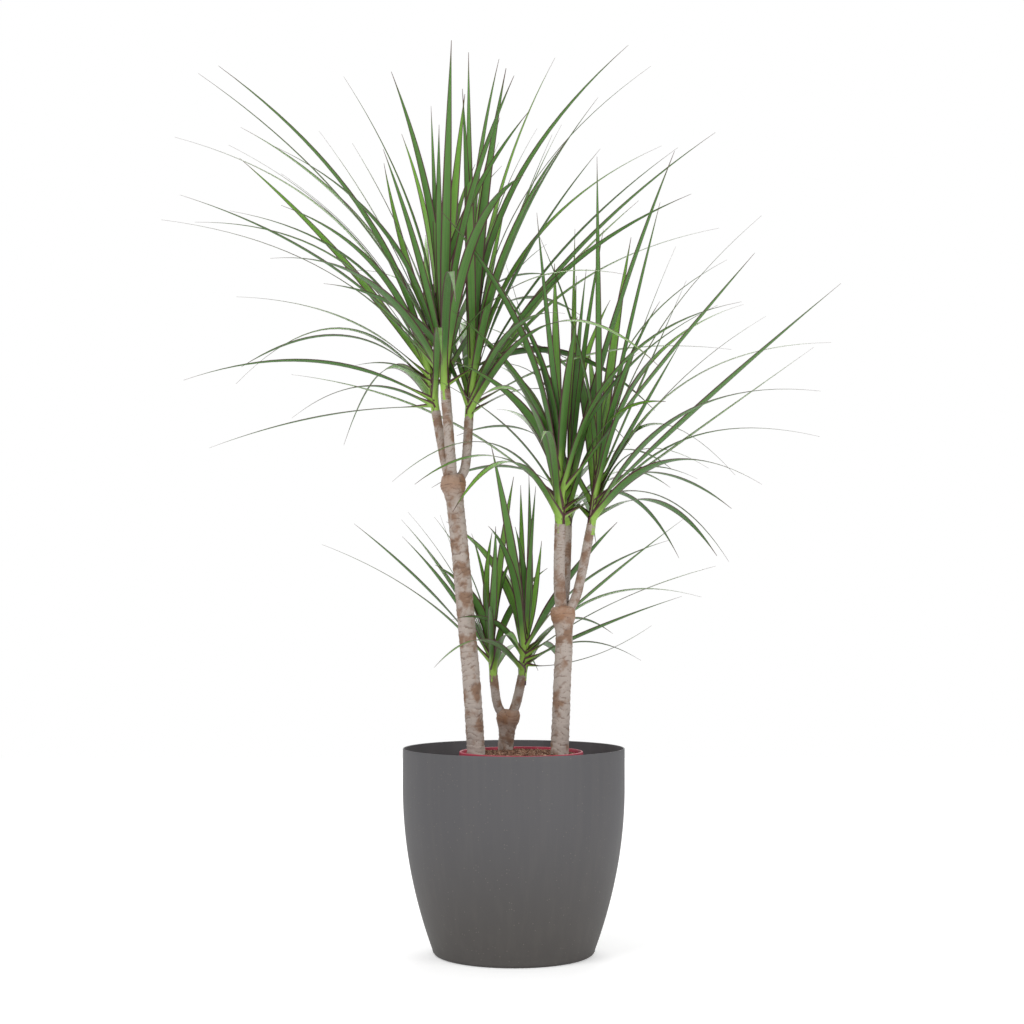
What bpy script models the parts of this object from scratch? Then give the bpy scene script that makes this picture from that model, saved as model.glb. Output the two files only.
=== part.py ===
"""Potted dracaena: three canes with leafy shoots, rooted in a grow pot inside a round cover pot.

Metres, +Z up. The origin is the centre of the cover pot's flat underside, +X is to the right
and +Y is to the back. Lengths in the leaf lists are centimetres, because they are read by hand.
"""

import math
import random

import bmesh
import bpy
from mathutils import Matrix, Vector
from mathutils.bvhtree import BVHTree

CM = 0.01
MM = 0.001
GAP = 0.3 * MM
UP = Vector((0, 0, 1))

# Cover pot
POT_HEIGHT = 0.275
POT_RIM_RADIUS = 0.150
POT_STRAIGHT = 0.050  # depth below the rim where the wall starts to curve in
POT_BELLY_RADIUS = 0.590  # radius of the curve that the wall follows down to the base
POT_WALL = 3.0 * MM
POT_LIP = 2.0 * MM
POT_FLOOR = 4.0 * MM
POT_BASE_ROUND = 7.0 * MM
POT_SIDES = 56

# Grow pot, standing on the cover pot's floor
GROW_CENTRE = (0.010, 0.000)
GROW_RIM_Z = 0.2705
GROW_RIM_RADIUS = 0.084
GROW_BASE_RADIUS = 0.064
GROW_WALL = 1.5 * MM
GROW_LIP_HEIGHT = 8.0 * MM
GROW_LIP_STEP = 2.0 * MM
GROW_SIDES = 32
DRAIN_HOLES = 6
DRAIN_RADIUS = 5.0 * MM
DRAIN_CIRCLE = 0.045

# Potting mix
SOIL_EDGE_Z = 0.2650
SOIL_MOUND = 5.0 * MM
SOIL_SIDES = 32

# Canes: foot, bends and fork from bottom to top, radius at the foot and at the fork
CANE_FOOT_Z = 0.175
FOOT_LEAN = 0.82  # how far out the buried foot stands, as a share of where the cane leaves the mix
CANE_SIDES = 14
SHOOT_SIDES = 10
TIP_TAPER = 0.35

CANES = {
    "cane_tall": {
        "path": [(-0.050, -0.020), (-0.057, -0.022), (-0.0715, -0.024), (-0.082, -0.025)],
        "levels": [0.267, 0.366, 0.529, 0.632],
        "radii": (12.4 * MM, 11.6 * MM),
        "knob": 17.5 * MM,
    },
    "cane_middle": {
        "path": [(0.0610, -0.020), (0.0650, -0.018), (0.0680, -0.015), (0.0665, -0.012)],
        "levels": [0.267, 0.360, 0.420, 0.456],
        "radii": (12.6 * MM, 11.2 * MM),
        "knob": 17.0 * MM,
    },
    "cane_short": {
        "path": [(-0.0108, 0.045), (-0.0100, 0.045), (-0.0090, 0.045), (-0.0080, 0.045)],
        "levels": [0.267, 0.285, 0.300, 0.315],
        "radii": (11.0 * MM, 10.6 * MM),
        "knob": 16.5 * MM,
    },
}

# Shoots: bare stem from the fork to the first leaves, then the leafy length up to the growing tip
SHOOTS = {
    "tall_left": {
        "cane": "cane_tall",
        "bare": [(-0.086, -0.024, 0.634), (-0.094, -0.018, 0.665), (-0.106, -0.014, 0.731)],
        "leafy": (-0.118, -0.012, 0.808),
        "radii": (6.6 * MM, 6.2 * MM),
    },
    "tall_middle": {
        "cane": "cane_tall",
        "bare": [(-0.083, -0.027, 0.636), (-0.087, -0.036, 0.690), (-0.092, -0.040, 0.756)],
        "leafy": (-0.098, -0.040, 0.845),
        "radii": (7.2 * MM, 6.8 * MM),
    },
    "tall_right": {
        "cane": "cane_tall",
        "bare": [(-0.079, -0.024, 0.634), (-0.066, -0.018, 0.655), (-0.061, -0.014, 0.722)],
        "leafy": (-0.056, -0.012, 0.805),
        "radii": (6.6 * MM, 6.2 * MM),
    },
    "middle_left": {
        "cane": "cane_middle",
        "bare": [(0.0650, -0.014, 0.458), (0.0615, -0.020, 0.500), (0.0625, -0.024, 0.578)],
        "leafy": (0.0620, -0.026, 0.660),
        "radii": (8.2 * MM, 7.4 * MM),
    },
    "middle_back": {
        "cane": "cane_middle",
        "bare": [(0.0670, -0.008, 0.458), (0.0710, 0.004, 0.500), (0.0740, 0.014, 0.576)],
        "leafy": (0.0770, 0.021, 0.652),
        "radii": (6.2 * MM, 6.0 * MM),
    },
    "middle_right": {
        "cane": "cane_middle",
        "bare": [(0.0700, -0.012, 0.456), (0.0860, -0.012, 0.485), (0.1050, -0.014, 0.576)],
        "leafy": (0.1150, -0.016, 0.655),
        "radii": (6.8 * MM, 6.2 * MM),
    },
    "short_left": {
        "cane": "cane_short",
        "bare": [(-0.014, 0.044, 0.316), (-0.023, 0.040, 0.333), (-0.028, 0.040, 0.371)],
        "leafy": (-0.031, 0.040, 0.428),
        "radii": (6.4 * MM, 6.0 * MM),
    },
    "short_right": {
        "cane": "cane_short",
        "bare": [(-0.003, 0.045, 0.316), (0.004, 0.047, 0.335), (0.012, 0.050, 0.371)],
        "leafy": (0.016, 0.052, 0.435),
        "radii": (6.8 * MM, 6.4 * MM),
    },
}

# Leaves that give each shoot its outline: tip right of the pot's axis, tip above the ground,
# how far the blade bows up off the straight line from base to tip (cm), and its width (mm)
OUTLINE = {
    "tall_left": [
        (-48, 113, 6.5, 12), (-38, 116, 5, 11), (-40, 112, 1.5, 11), (-38, 108, 4.5, 8),
        (-34, 103, 3, 9), (-46, 102, 6.5, 9), (-37, 98, 5.5, 9), (-53, 97, 5.5, 10),
        (-38, 89, 3, 9), (-50, 76, 9, 10), (-49, 79, 4.5, 10), (-49, 74, 9, 9),
        (-38, 77, 8, 10), (-38, 80, 5.5, 14), (-43, 76, 4, 9), (-43, 69, 1.5, 10),
        (-30, 72, 3.5, 13), (-22, 79, 1.5, 10),
    ],
    "tall_middle": [
        (-40, 114, 4, 12), (-39, 115, 4.5, 15), (-45, 102, 3.5, 10), (-46, 97, 5, 10),
        (-23, 113, 1.5, 11), (-22, 115, 3.5, 10), (-17, 111, 1, 14), (-18, 108, -1, 11),
        (-17, 106, 1, 10), (-16, 114, 2.5, 9), (-11, 113, 0, 8), (-10, 111, -1.5, 11),
        (-7, 120, 1, 15), (-8, 119, 1.5, 14), (2, 109, 1, 10), (-2, 110, 1, 11),
    ],
    "tall_right": [
        (-6, 120, -2.5, 13), (-2, 121, 2.5, 11), (-2, 117, 4.5, 10), (-1, 116, 3.5, 15),
        (6, 126, 3.5, 11), (12, 124, 6, 10), (15, 120, 7, 10), (7, 117, 2, 8),
        (11, 113, 3.5, 14), (12, 110, 2, 10), (21, 112, 6, 9), (5, 108, 1.5, 10),
        (-1, 105, 0.5, 11), (27, 110, 3, 10), (22, 108, 3, 9), (18, 105, 1.5, 15),
        (23, 100, 4.5, 10), (29, 100, 5, 8), (30, 82, 3.5, 11),
    ],
    "middle_left": [
        (-10, 97, 4.5, 15), (-12, 87, 8.5, 10), (-13, 77, 10, 9), (-11, 77, 2, 14),
        (-32, 80, 3.5, 9), (-16, 63, 7, 10), (1, 95, 0.5, 12), (4, 93, 0, 15),
        (31, 92, 0.5, 15), (33, 53, 6.5, 14),
    ],
    "middle_back": [
        (3, 98, -0.5, 9), (9, 94, 1, 12), (10, 93, 0.5, 12), (12, 97, 1, 8),
        (9, 102, 0, 9), (21, 106, 1.5, 14),
    ],
    "middle_right": [
        (11, 106, 0.5, 9), (17, 100, 1, 14), (19, 99, 0.5, 9), (24, 97, 5.5, 9),
        (23, 97, 1, 9), (32, 97, 4.5, 10), (33, 90, 5.5, 10), (23, 90, 0, 12),
        (23, 83, 0, 9), (36, 88, 2.5, 11), (42, 88, 0.5, 14), (45, 84, 6.5, 10),
        (41, 82, 0, 10), (39, 72, 6, 8), (31, 65, 9.5, 10), (26, 65, 5.5, 9), (25, 64, 4, 9),
    ],
    "short_left": [
        (-26, 55, 2, 11), (-22, 58, 1, 10), (-16, 59, 1, 14), (-15, 56, 1, 10),
        (-15, 60, 1.5, 9), (-11, 59, 1.5, 9), (-10, 59, 0, 9), (-6, 57, 1.5, 8),
        (-3, 57, -0.5, 11), (-3, 57, 2, 10), (0, 65, 0.5, 14), (-4, 50, 0, 10),
    ],
    "short_right": [
        (-3, 68, 1, 14), (1, 64, 0, 10), (2, 65, -1, 11), (3, 63, 0.5, 10), (4, 56, -0.5, 10),
        (14, 58, 1, 14), (24, 59, 0.5, 10), (22, 56, 2.5, 14), (27, 52, 1.5, 10),
        (27, 48, 5, 9), (23, 48, 0.5, 10), (19, 44, -1.5, 9), (18, 39, 3, 9),
    ],
}

# Leaves that fill each shoot out towards the front and the back: how many, and their lengths (cm)
FILL = {
    "tall_left": (9, 28, 44),
    "tall_middle": (12, 30, 44),
    "tall_right": (11, 28, 44),
    "middle_left": (14, 28, 42),
    "middle_back": (9, 26, 38),
    "middle_right": (10, 26, 42),
    "short_left": (7, 16, 26),
    "short_right": (8, 16, 28),
}

SEED = 11
GOLDEN_ANGLE = math.pi * (3 - math.sqrt(5))
WHORLS = ("lower", "middle", "upper")
ROWS_PER_WHORL = 3
COLUMNS = 8
SLEEVE_WALL = 1.7 * MM
CORE_TAPER = 0.2
LEAF_STEPS = 5
LEAF_THICKNESS = 0.9 * MM
LEAF_CLEARANCE = 1.2 * MM
NUDGES = [(swing, lift) for swing in range(-24, 25, 3) for lift in range(-9, 10, 3)]
NUDGES.sort(key=lambda nudge: (abs(nudge[0]) + 2 * abs(nudge[1]), nudge))
ROOT_SHRINK = 0.8  # leaf roots that sit side by side share an edge, so the overlap test starts inside it

COLOURS = {
    "anthracite": ((0.105, 0.104, 0.112, 1), 0.5),
    "red_plastic": ((0.45, 0.03, 0.06, 1), 0.5),
    "soil": ((0.17, 0.09, 0.055, 1), 0.95),
    "bark": ((0.36, 0.27, 0.21, 1), 0.85),
    "leaf": ((0.09, 0.25, 0.03, 1), 0.4),
}


def clear_scene():
    for obj in list(bpy.data.objects):
        bpy.data.objects.remove(obj, do_unlink=True)


def material(name):
    """The named Principled material, made on first use."""
    found = bpy.data.materials.get(name)
    if found:
        return found
    colour, roughness = COLOURS[name]
    made = bpy.data.materials.new(name)
    made.use_nodes = True
    shader = made.node_tree.nodes["Principled BSDF"]
    shader.inputs["Base Color"].default_value = colour
    shader.inputs["Roughness"].default_value = roughness
    made.diffuse_color = colour
    return made


def object_from(name, bm, finish, cutter=False):
    """A new object from bm, with outward normals; a cutter is left out of the model."""
    bmesh.ops.recalc_face_normals(bm, faces=bm.faces)
    if bm.calc_volume(signed=True) < 0:
        bmesh.ops.reverse_faces(bm, faces=bm.faces)
    mesh = bpy.data.meshes.new(name)
    bm.to_mesh(mesh)
    bm.free()
    mesh.materials.append(material(finish))
    mesh.shade_smooth()
    mesh.set_sharp_from_angle(angle=math.radians(40))
    obj = bpy.data.objects.new(name, mesh)
    bpy.context.scene.collection.objects.link(obj)
    if cutter:
        obj.hide_render = True
        obj.display_type = "WIRE"
    return obj


def boolean(obj, other, operation):
    cut = obj.modifiers.new(f"{operation.lower()}_{other.name}", "BOOLEAN")
    cut.object = other
    cut.operation = operation
    cut.solver = "EXACT"


def turned(profile, sides, centre=(0.0, 0.0)):
    """A body of revolution about a vertical line: profile is (radius, z) from axis to axis."""
    bm = bmesh.new()
    rings = []
    for radius, z in profile:
        if radius == 0:
            rings.append([bm.verts.new((centre[0], centre[1], z))])
            continue
        turns = [2 * math.pi * i / sides for i in range(sides)]
        rings.append([
            bm.verts.new((centre[0] + radius * math.cos(a), centre[1] + radius * math.sin(a), z))
            for a in turns
        ])
    for low, high in zip(rings, rings[1:]):
        for i in range(sides):
            j = (i + 1) % sides
            corners = [low[i % len(low)], low[j % len(low)], high[j % len(high)], high[i % len(high)]]
            bm.faces.new(list(dict.fromkeys(corners)))
    return bm


def tube(points, radii, sides):
    """A closed round bar through points, with a radius at each."""
    bm = bmesh.new()
    rings = []
    for i, point in enumerate(points):
        before = points[max(i - 1, 0)]
        after = points[min(i + 1, len(points) - 1)]
        along = (after - before).normalized()
        across = along.cross(Vector((0, 1, 0))).normalized()
        other = along.cross(across)
        turns = [2 * math.pi * k / sides for k in range(sides)]
        rings.append([
            bm.verts.new(point + radii[i] * (math.cos(a) * across + math.sin(a) * other))
            for a in turns
        ])
    for low, high in zip(rings, rings[1:]):
        for k in range(sides):
            m = (k + 1) % sides
            bm.faces.new((low[k], low[m], high[m], high[k]))
    bm.faces.new(rings[0])
    bm.faces.new(rings[-1])
    return bm


def outer_radius(z):
    """Radius of the cover pot's outside at height z: upright at the top, then curving in."""
    below = max(POT_HEIGHT - z - POT_STRAIGHT, 0)
    return POT_RIM_RADIUS - below**2 / (2 * POT_BELLY_RADIUS)


def cover_pot():
    levels = [POT_BASE_ROUND + (POT_HEIGHT - POT_BASE_ROUND) * k / 10 for k in range(11)]
    foot = outer_radius(POT_BASE_ROUND)
    outside = [(0, 0), (foot - POT_BASE_ROUND, 0)]
    for k in range(1, 4):
        a = k * math.pi / 8
        rise = POT_BASE_ROUND * (1 - math.cos(a))
        outside.append((foot - POT_BASE_ROUND * (1 - math.sin(a)), rise))
    outside += [(outer_radius(z), z) for z in levels]
    inside = [(POT_RIM_RADIUS - POT_LIP, POT_HEIGHT)]
    inside += [(POT_RIM_RADIUS - POT_LIP, POT_HEIGHT - 12 * MM)]
    inside += [(outer_radius(z) - POT_WALL, z) for z in reversed(levels[1:-1])]
    inside += [(outer_radius(POT_FLOOR) - POT_WALL - 6 * MM, POT_FLOOR), (0, POT_FLOOR)]
    return object_from("cover_pot", turned(outside + inside, POT_SIDES), "anthracite")


def grow_radius(z):
    """Radius of the grow pot's outside below its lip: a straight taper."""
    base = POT_FLOOR + GAP
    share = (z - base) / (GROW_RIM_Z - base)
    return GROW_BASE_RADIUS + (GROW_RIM_RADIUS - GROW_LIP_STEP - GROW_BASE_RADIUS) * share


def grow_pot():
    base = POT_FLOOR + GAP
    floor = base + 2 * MM
    under_lip = GROW_RIM_Z - GROW_LIP_HEIGHT
    profile = [
        (0, base),
        (grow_radius(base), base),
        (grow_radius(under_lip), under_lip),
        (GROW_RIM_RADIUS, under_lip),
        (GROW_RIM_RADIUS, GROW_RIM_Z),
        (GROW_RIM_RADIUS - GROW_WALL, GROW_RIM_Z),
        (grow_radius(under_lip) - GROW_WALL, under_lip - GROW_WALL),
        (grow_radius(floor) - GROW_WALL, floor),
        (0, floor),
    ]
    pot = object_from("grow_pot", turned(profile, GROW_SIDES, GROW_CENTRE), "red_plastic")
    for k in range(DRAIN_HOLES):
        turn = 2 * math.pi * (k + 0.5) / DRAIN_HOLES
        x = GROW_CENTRE[0] + DRAIN_CIRCLE * math.cos(turn)
        y = GROW_CENTRE[1] + DRAIN_CIRCLE * math.sin(turn)
        ends = [Vector((x, y, base - 2 * MM)), Vector((x, y, floor + 2 * MM))]
        drill = object_from(f"drain_cutter_{k}", tube(ends, [DRAIN_RADIUS] * 2, 12), "soil", True)
        boolean(pot, drill, "DIFFERENCE")
    return pot


def potting_mix():
    base = POT_FLOOR + 2 * GAP + 2 * MM
    wall = GROW_WALL + GAP
    profile = [(0, base), (grow_radius(base) - wall, base)]
    profile.append((grow_radius(SOIL_EDGE_Z - GROW_LIP_HEIGHT) - wall, SOIL_EDGE_Z - GROW_LIP_HEIGHT))
    edge = grow_radius(SOIL_EDGE_Z) - wall
    for k in range(5):
        share = k / 4
        radius = edge * (1 - share)
        profile.append((radius, SOIL_EDGE_Z + SOIL_MOUND * math.sin(share * math.pi / 2)))
    mix = object_from("potting_mix", turned(profile, SOIL_SIDES, GROW_CENTRE), "soil")
    for name, cane in CANES.items():
        points, radii = cane_line(cane)
        line = [points[0] - Vector((0, 0, GAP))] + points[1:]
        bored = object_from(f"{name}_socket", tube(line, [r + GAP for r in radii], CANE_SIDES), "soil", True)
        boolean(mix, bored, "DIFFERENCE")
    return mix


def cane_line(cane):
    """Centre line and radii of one cane, from its foot in the mix up to its fork."""
    x, y = cane["path"][0]
    towards = [GROW_CENTRE[i] + (v - GROW_CENTRE[i]) * FOOT_LEAN for i, v in enumerate((x, y))]
    first = Vector((*towards, CANE_FOOT_Z))
    points = [first] + [Vector((*xy, z)) for xy, z in zip(cane["path"], cane["levels"])]
    low, high = cane["radii"]
    last = len(points) - 1
    return points, [low + (high - low) * i / last for i in range(len(points))]


def knob(name, centre, radius):
    bm = bmesh.new()
    bmesh.ops.create_uvsphere(bm, u_segments=14, v_segments=8, radius=radius)
    bmesh.ops.scale(bm, verts=bm.verts, vec=(1.0, 0.86, 0.80))
    bmesh.ops.translate(bm, verts=bm.verts, vec=centre)
    return object_from(f"{name}_knob", bm, "bark", True)


def shoot_line(shoot):
    """Centre line and radii of a shoot: bare, then thinner inside its leaves, up to its tip."""
    bare = [Vector(p) for p in shoot["bare"]]
    top = Vector(shoot["leafy"])
    low, high = shoot["radii"]
    inner = core_radius(shoot)
    step = (top - bare[-1]) * 0.03
    points = [*bare, bare[-1] + step, top - step, top]
    return points, [low, (low + high) / 2, high, inner, inner * (1 - CORE_TAPER), inner * TIP_TAPER]


def core_radius(shoot):
    """Radius of the shoot inside its sleeve of leaf bases."""
    return shoot["radii"][1] - SLEEVE_WALL - GAP


def cane_with_shoots(name, cane):
    points, radii = cane_line(cane)
    body = object_from(name, tube(points, radii, CANE_SIDES), "bark")
    boolean(body, knob(name, points[-1], cane["knob"]), "UNION")
    for label, shoot in SHOOTS.items():
        if shoot["cane"] != name:
            continue
        line, widths = shoot_line(shoot)
        stem = object_from(f"{label}_stem", tube(line, widths, SHOOT_SIDES), "bark", True)
        boolean(body, stem, "UNION")
    return body


def leaf_plan(label):
    """Every leaf of one shoot as (tip, bow, width), the outline leaves first."""
    shoot = SHOOTS[label]
    foot = Vector(shoot["bare"][-1])
    rng = random.Random(f"{SEED}{label}")
    leaves = []
    for k, (x, z, bow, width) in enumerate(OUTLINE[label]):
        reach = Vector((x * CM - foot.x, 0, z * CM - foot.z)).length
        depth = foot.y + 0.34 * reach * math.sin(k * GOLDEN_ANGLE + len(label))
        leaves.append((Vector((x * CM, depth, z * CM)), bow * CM, width * MM))
    count, shortest, longest = FILL[label]
    for k in range(count):
        side = -1 if k % 2 else 1
        turn = side * math.pi / 2 + rng.uniform(-0.9, 0.9)
        lift = math.radians(-8 + 84 * (k + 0.5) / count + rng.uniform(-4, 4))
        length = CM * rng.uniform(shortest, longest)
        flat = length * math.cos(lift)
        rise = Vector((flat * math.cos(turn), flat * math.sin(turn), length * math.sin(lift)))
        bow = length * (0.04 + 0.14 * math.cos(lift)) * rng.uniform(0.7, 1.2)
        leaves.append((foot + rise, bow, MM * rng.uniform(10, 15)))
    return leaves


def uprightness(foot, leaf):
    tip, bow, _ = leaf
    chord = tip - foot
    return math.atan2(chord.z, math.hypot(chord.x, chord.y)) + 0.6 * bow / chord.length


def slots(label):
    """Each leaf of a shoot with the place (row, column) of its base on the sleeve."""
    shoot = SHOOTS[label]
    foot = Vector(shoot["bare"][-1])
    plan = sorted(leaf_plan(label), key=lambda leaf: uprightness(foot, leaf))
    rows = ROWS_PER_WHORL * len(WHORLS)
    free = {(r, c) for r in range(rows) for c in range(COLUMNS)}
    placed = []
    for k, leaf in enumerate(plan):
        heading = math.atan2(leaf[0].y - foot.y, leaf[0].x - foot.x)
        wanted = rows * (k + 0.5) / len(plan) - 0.5

        def cost(slot):
            turn = 2 * math.pi * (slot[1] + 0.5) / COLUMNS
            apart = abs(math.remainder(turn - heading, 2 * math.pi))
            return (abs(slot[0] - wanted) + 2.2 * apart, slot)

        best = min(free, key=cost)
        free.discard(best)
        placed.append((best, leaf))
    return placed


def blade_width(share, width):
    """Width of a leaf along its length: a narrow base, broadest at a third, and a long point."""
    if share < 0.35:
        return width * (0.62 + 0.38 * math.sin(share / 0.35 * math.pi / 2))
    return width * max(1 - ((share - 0.35) / 0.65) ** 1.7, 0.05)


def blade_side(slot_side, heading_side, t):
    """Across the blade at t: square to the stem at the root, turning to the blade's own heading."""
    if slot_side.dot(heading_side) < 0.2:
        return slot_side
    return slot_side.lerp(heading_side, min(2 * t, 1)).normalized()


def leaf_sections(corners, leaf, nudge=(0, 0), thickness=LEAF_THICKNESS):
    """Corner points of the blade at each step from base: a bowed strip that narrows to its tip.

    nudge swings the blade round the upright and lifts it, in degrees.
    """
    tip, bow, width = leaf
    base = sum(corners, Vector()) / 4
    slot_side = (corners[1] - corners[0]).normalized()
    chord = tip - base
    chord.rotate(Matrix.Rotation(math.radians(nudge[0]), 3, "Z"))
    flat = Vector((chord.x, chord.y, 0))
    flat = flat.normalized() if flat.length > 1 * MM else Vector((1, 0, 0))
    side = UP.cross(flat)
    chord.rotate(Matrix.Rotation(math.radians(-nudge[1]), 3, side))
    raised = chord.cross(side).normalized()
    if raised.dot(UP) < 0:
        raised.negate()
    middle = base + chord * 0.45 + raised * bow * 2
    sections = []
    for k in range(1, LEAF_STEPS + 1):
        t = k / LEAF_STEPS
        point = base * (1 - t) ** 2 + middle * 2 * t * (1 - t) + (base + chord) * t**2
        along = ((middle - base) * (1 - t) + (base + chord - middle) * t).normalized()
        across = blade_side(slot_side, side, t)
        across = (across - along * across.dot(along)).normalized()
        normal = along.cross(across)
        half = across * blade_width(t, width) / 2
        thick = normal * thickness / 2 * (1 if k < LEAF_STEPS else 0.5)
        sections.append([point - half - thick, point + half - thick, point + half + thick, point - half + thick])
    return sections


def ribbon(corners, sections):
    """A search tree of one leaf's faces, for overlap tests."""
    points = [p for ring in [corners, *sections] for p in ring]
    faces = []
    for k in range(len(sections)):
        for i in range(4):
            j = (i + 1) % 4
            faces.append((4 * k + i, 4 * k + j, 4 * k + 4 + j, 4 * k + 4 + i))
    return BVHTree.FromPolygons(points, faces)


def sleeve_grid(label, whorl):
    """Points of one whorl's sleeve, as rings of (inner, outer) points from bottom to top."""
    shoot = SHOOTS[label]
    low = Vector(shoot["bare"][-1])
    high = Vector(shoot["leafy"])
    along = (high - low).normalized()
    across = along.cross(Vector((0, 1, 0))).normalized()
    other = across.cross(along)
    rows = ROWS_PER_WHORL * len(WHORLS)
    usable = (high - low).length - 4 * MM
    rings = []
    for r in range(ROWS_PER_WHORL + 1):
        share = (whorl * ROWS_PER_WHORL + r) / rows
        height = 3 * MM + usable * share
        if r == ROWS_PER_WHORL:
            height -= GAP
        centre = low + along * height
        outer = shoot["radii"][1] * (1.05 - 0.18 * share)
        inner = (core_radius(shoot) * (1 - CORE_TAPER * share) + GAP) / math.cos(math.pi / COLUMNS)
        turns = [2 * math.pi * c / COLUMNS for c in range(COLUMNS)]
        heading = [-across * math.cos(a) + other * math.sin(a) for a in turns]
        rings.append(([centre + d * inner for d in heading], [centre + d * outer for d in heading]))
    return rings


def outer_corners(rings, row, column):
    """The four corners of one face of a sleeve, in the order of a leaf's sections."""
    after = (column + 1) % COLUMNS
    low = rings[row][1]
    high = rings[row + 1][1]
    return [low[column], low[after], high[after], high[column]]


def bar_tree(points, radii):
    """A search tree of a round bar's faces."""
    bm = tube(points, [r + LEAF_CLEARANCE for r in radii], SHOOT_SIDES)
    tree = BVHTree.FromBMesh(bm)
    bm.free()
    return tree


def stem_trees():
    """Search trees of the canes, their forks and the bare part of every shoot."""
    trees = []
    for cane in CANES.values():
        points, radii = cane_line(cane)
        trees.append(bar_tree(points, radii))
        top = points[-1]
        lift = Vector((0, 0, cane["knob"]))
        trees.append(bar_tree([top - lift, top, top + lift], [cane["knob"] / 2, cane["knob"], cane["knob"] / 2]))
    for shoot in SHOOTS.values():
        points, radii = shoot_line(shoot)
        trees.append(bar_tree(points[:3], radii[:3]))
        trees.append(bar_tree(points[3:], radii[3:]))
    return trees


def sleeve_trees():
    """A search tree for every whorl's sleeve: {(label, whorl): tree}."""
    trees = {}
    for label in SHOOTS:
        for whorl in range(len(WHORLS)):
            rings = sleeve_grid(label, whorl)
            ends = [sum(ring[1], Vector()) / COLUMNS for ring in (rings[0], rings[-1])]
            radii = [(ring[1][0] - end).length for ring, end in zip((rings[0], rings[-1]), ends)]
            trees[label, whorl] = bar_tree(ends, [r - LEAF_CLEARANCE / 2 for r in radii])
    return trees


def place_leaves():
    """Every leaf's sections, swung a little where it would touch another: {(label, whorl): ...}."""
    stems = stem_trees()
    settled = []
    sleeves = sleeve_trees()
    layout = {}
    for label in SHOOTS:
        grids = [sleeve_grid(label, w) for w in range(len(WHORLS))]
        for (row, column), leaf in slots(label):
            whorl, step = divmod(row, ROWS_PER_WHORL)
            corners = outer_corners(grids[whorl], step, column)
            base = sum(corners, Vector()) / 4
            home = (label, whorl)
            fixed = stems + [tree for key, tree in sleeves.items() if key != home]
            fixed += [full for key, _, full in settled if key != home]
            mates = [slim for key, slim, _ in settled if key == home]
            found = None
            slim_root = [base.lerp(corner, ROOT_SHRINK) for corner in corners]
            full_root = [base.lerp(corner, 2 - ROOT_SHRINK) for corner in corners]
            for nudge in NUDGES:
                sections = leaf_sections(corners, leaf, nudge)
                broad = (leaf[0], leaf[1], leaf[2] + LEAF_CLEARANCE)
                wide = leaf_sections(corners, broad, nudge, LEAF_THICKNESS + LEAF_CLEARANCE)
                slim, full = ribbon(slim_root, wide), ribbon(full_root, wide)
                clear = not any(full.overlap(other) for other in fixed)
                if clear and not any(slim.overlap(other) for other in mates):
                    found = (sections, slim, full)
                    break
            if found is None:
                continue
            settled.append((home, *found[1:]))
            layout.setdefault((label, whorl), []).append((step, column, found[0]))
    return layout


def whorl_of_leaves(label, whorl, leaves):
    """One whorl: a sleeve of clasping leaf bases round the stem, with a blade drawn out of each."""
    rings = sleeve_grid(label, whorl)
    bm = bmesh.new()
    inner = [[bm.verts.new(p) for p in ring[0]] for ring in (rings[0], rings[-1])]
    outer = [[bm.verts.new(p) for p in ring[1]] for ring in rings]
    faces = {}
    for c in range(COLUMNS):
        d = (c + 1) % COLUMNS
        for r in range(ROWS_PER_WHORL):
            faces[r, c] = bm.faces.new((outer[r][c], outer[r][d], outer[r + 1][d], outer[r + 1][c]))
        bm.faces.new((inner[0][c], inner[0][d], inner[1][d], inner[1][c]))
        bm.faces.new((inner[0][c], inner[0][d], outer[0][d], outer[0][c]))
        bm.faces.new((inner[1][c], inner[1][d], outer[-1][d], outer[-1][c]))
    for row, column, sections in leaves:
        draw_out(bm, faces[row, column], sections)
    return object_from(f"leaves_{label}_{WHORLS[whorl]}", bm, "leaf")


def draw_out(bm, face, sections):
    """Extrudes face through sections."""
    for corners in sections:
        made = bmesh.ops.extrude_discrete_faces(bm, faces=[face])
        face = made["faces"][0]
        for vert, place in zip(face.verts, corners):
            vert.co = place


def main():
    clear_scene()
    cover_pot()
    grow_pot()
    potting_mix()
    for name, cane in CANES.items():
        cane_with_shoots(name, cane)
    for (label, whorl), leaves in sorted(place_leaves().items()):
        whorl_of_leaves(label, whorl, leaves)


main()
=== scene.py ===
"""Looks of the potted dracaena: pots, potting mix, canes, leaves, floor, light and camera."""

import logging
import math
import random
from dataclasses import dataclass
from enum import Enum

import bmesh
import bpy
from mathutils import Matrix, Vector, noise
from mathutils.bvhtree import BVHTree


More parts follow.
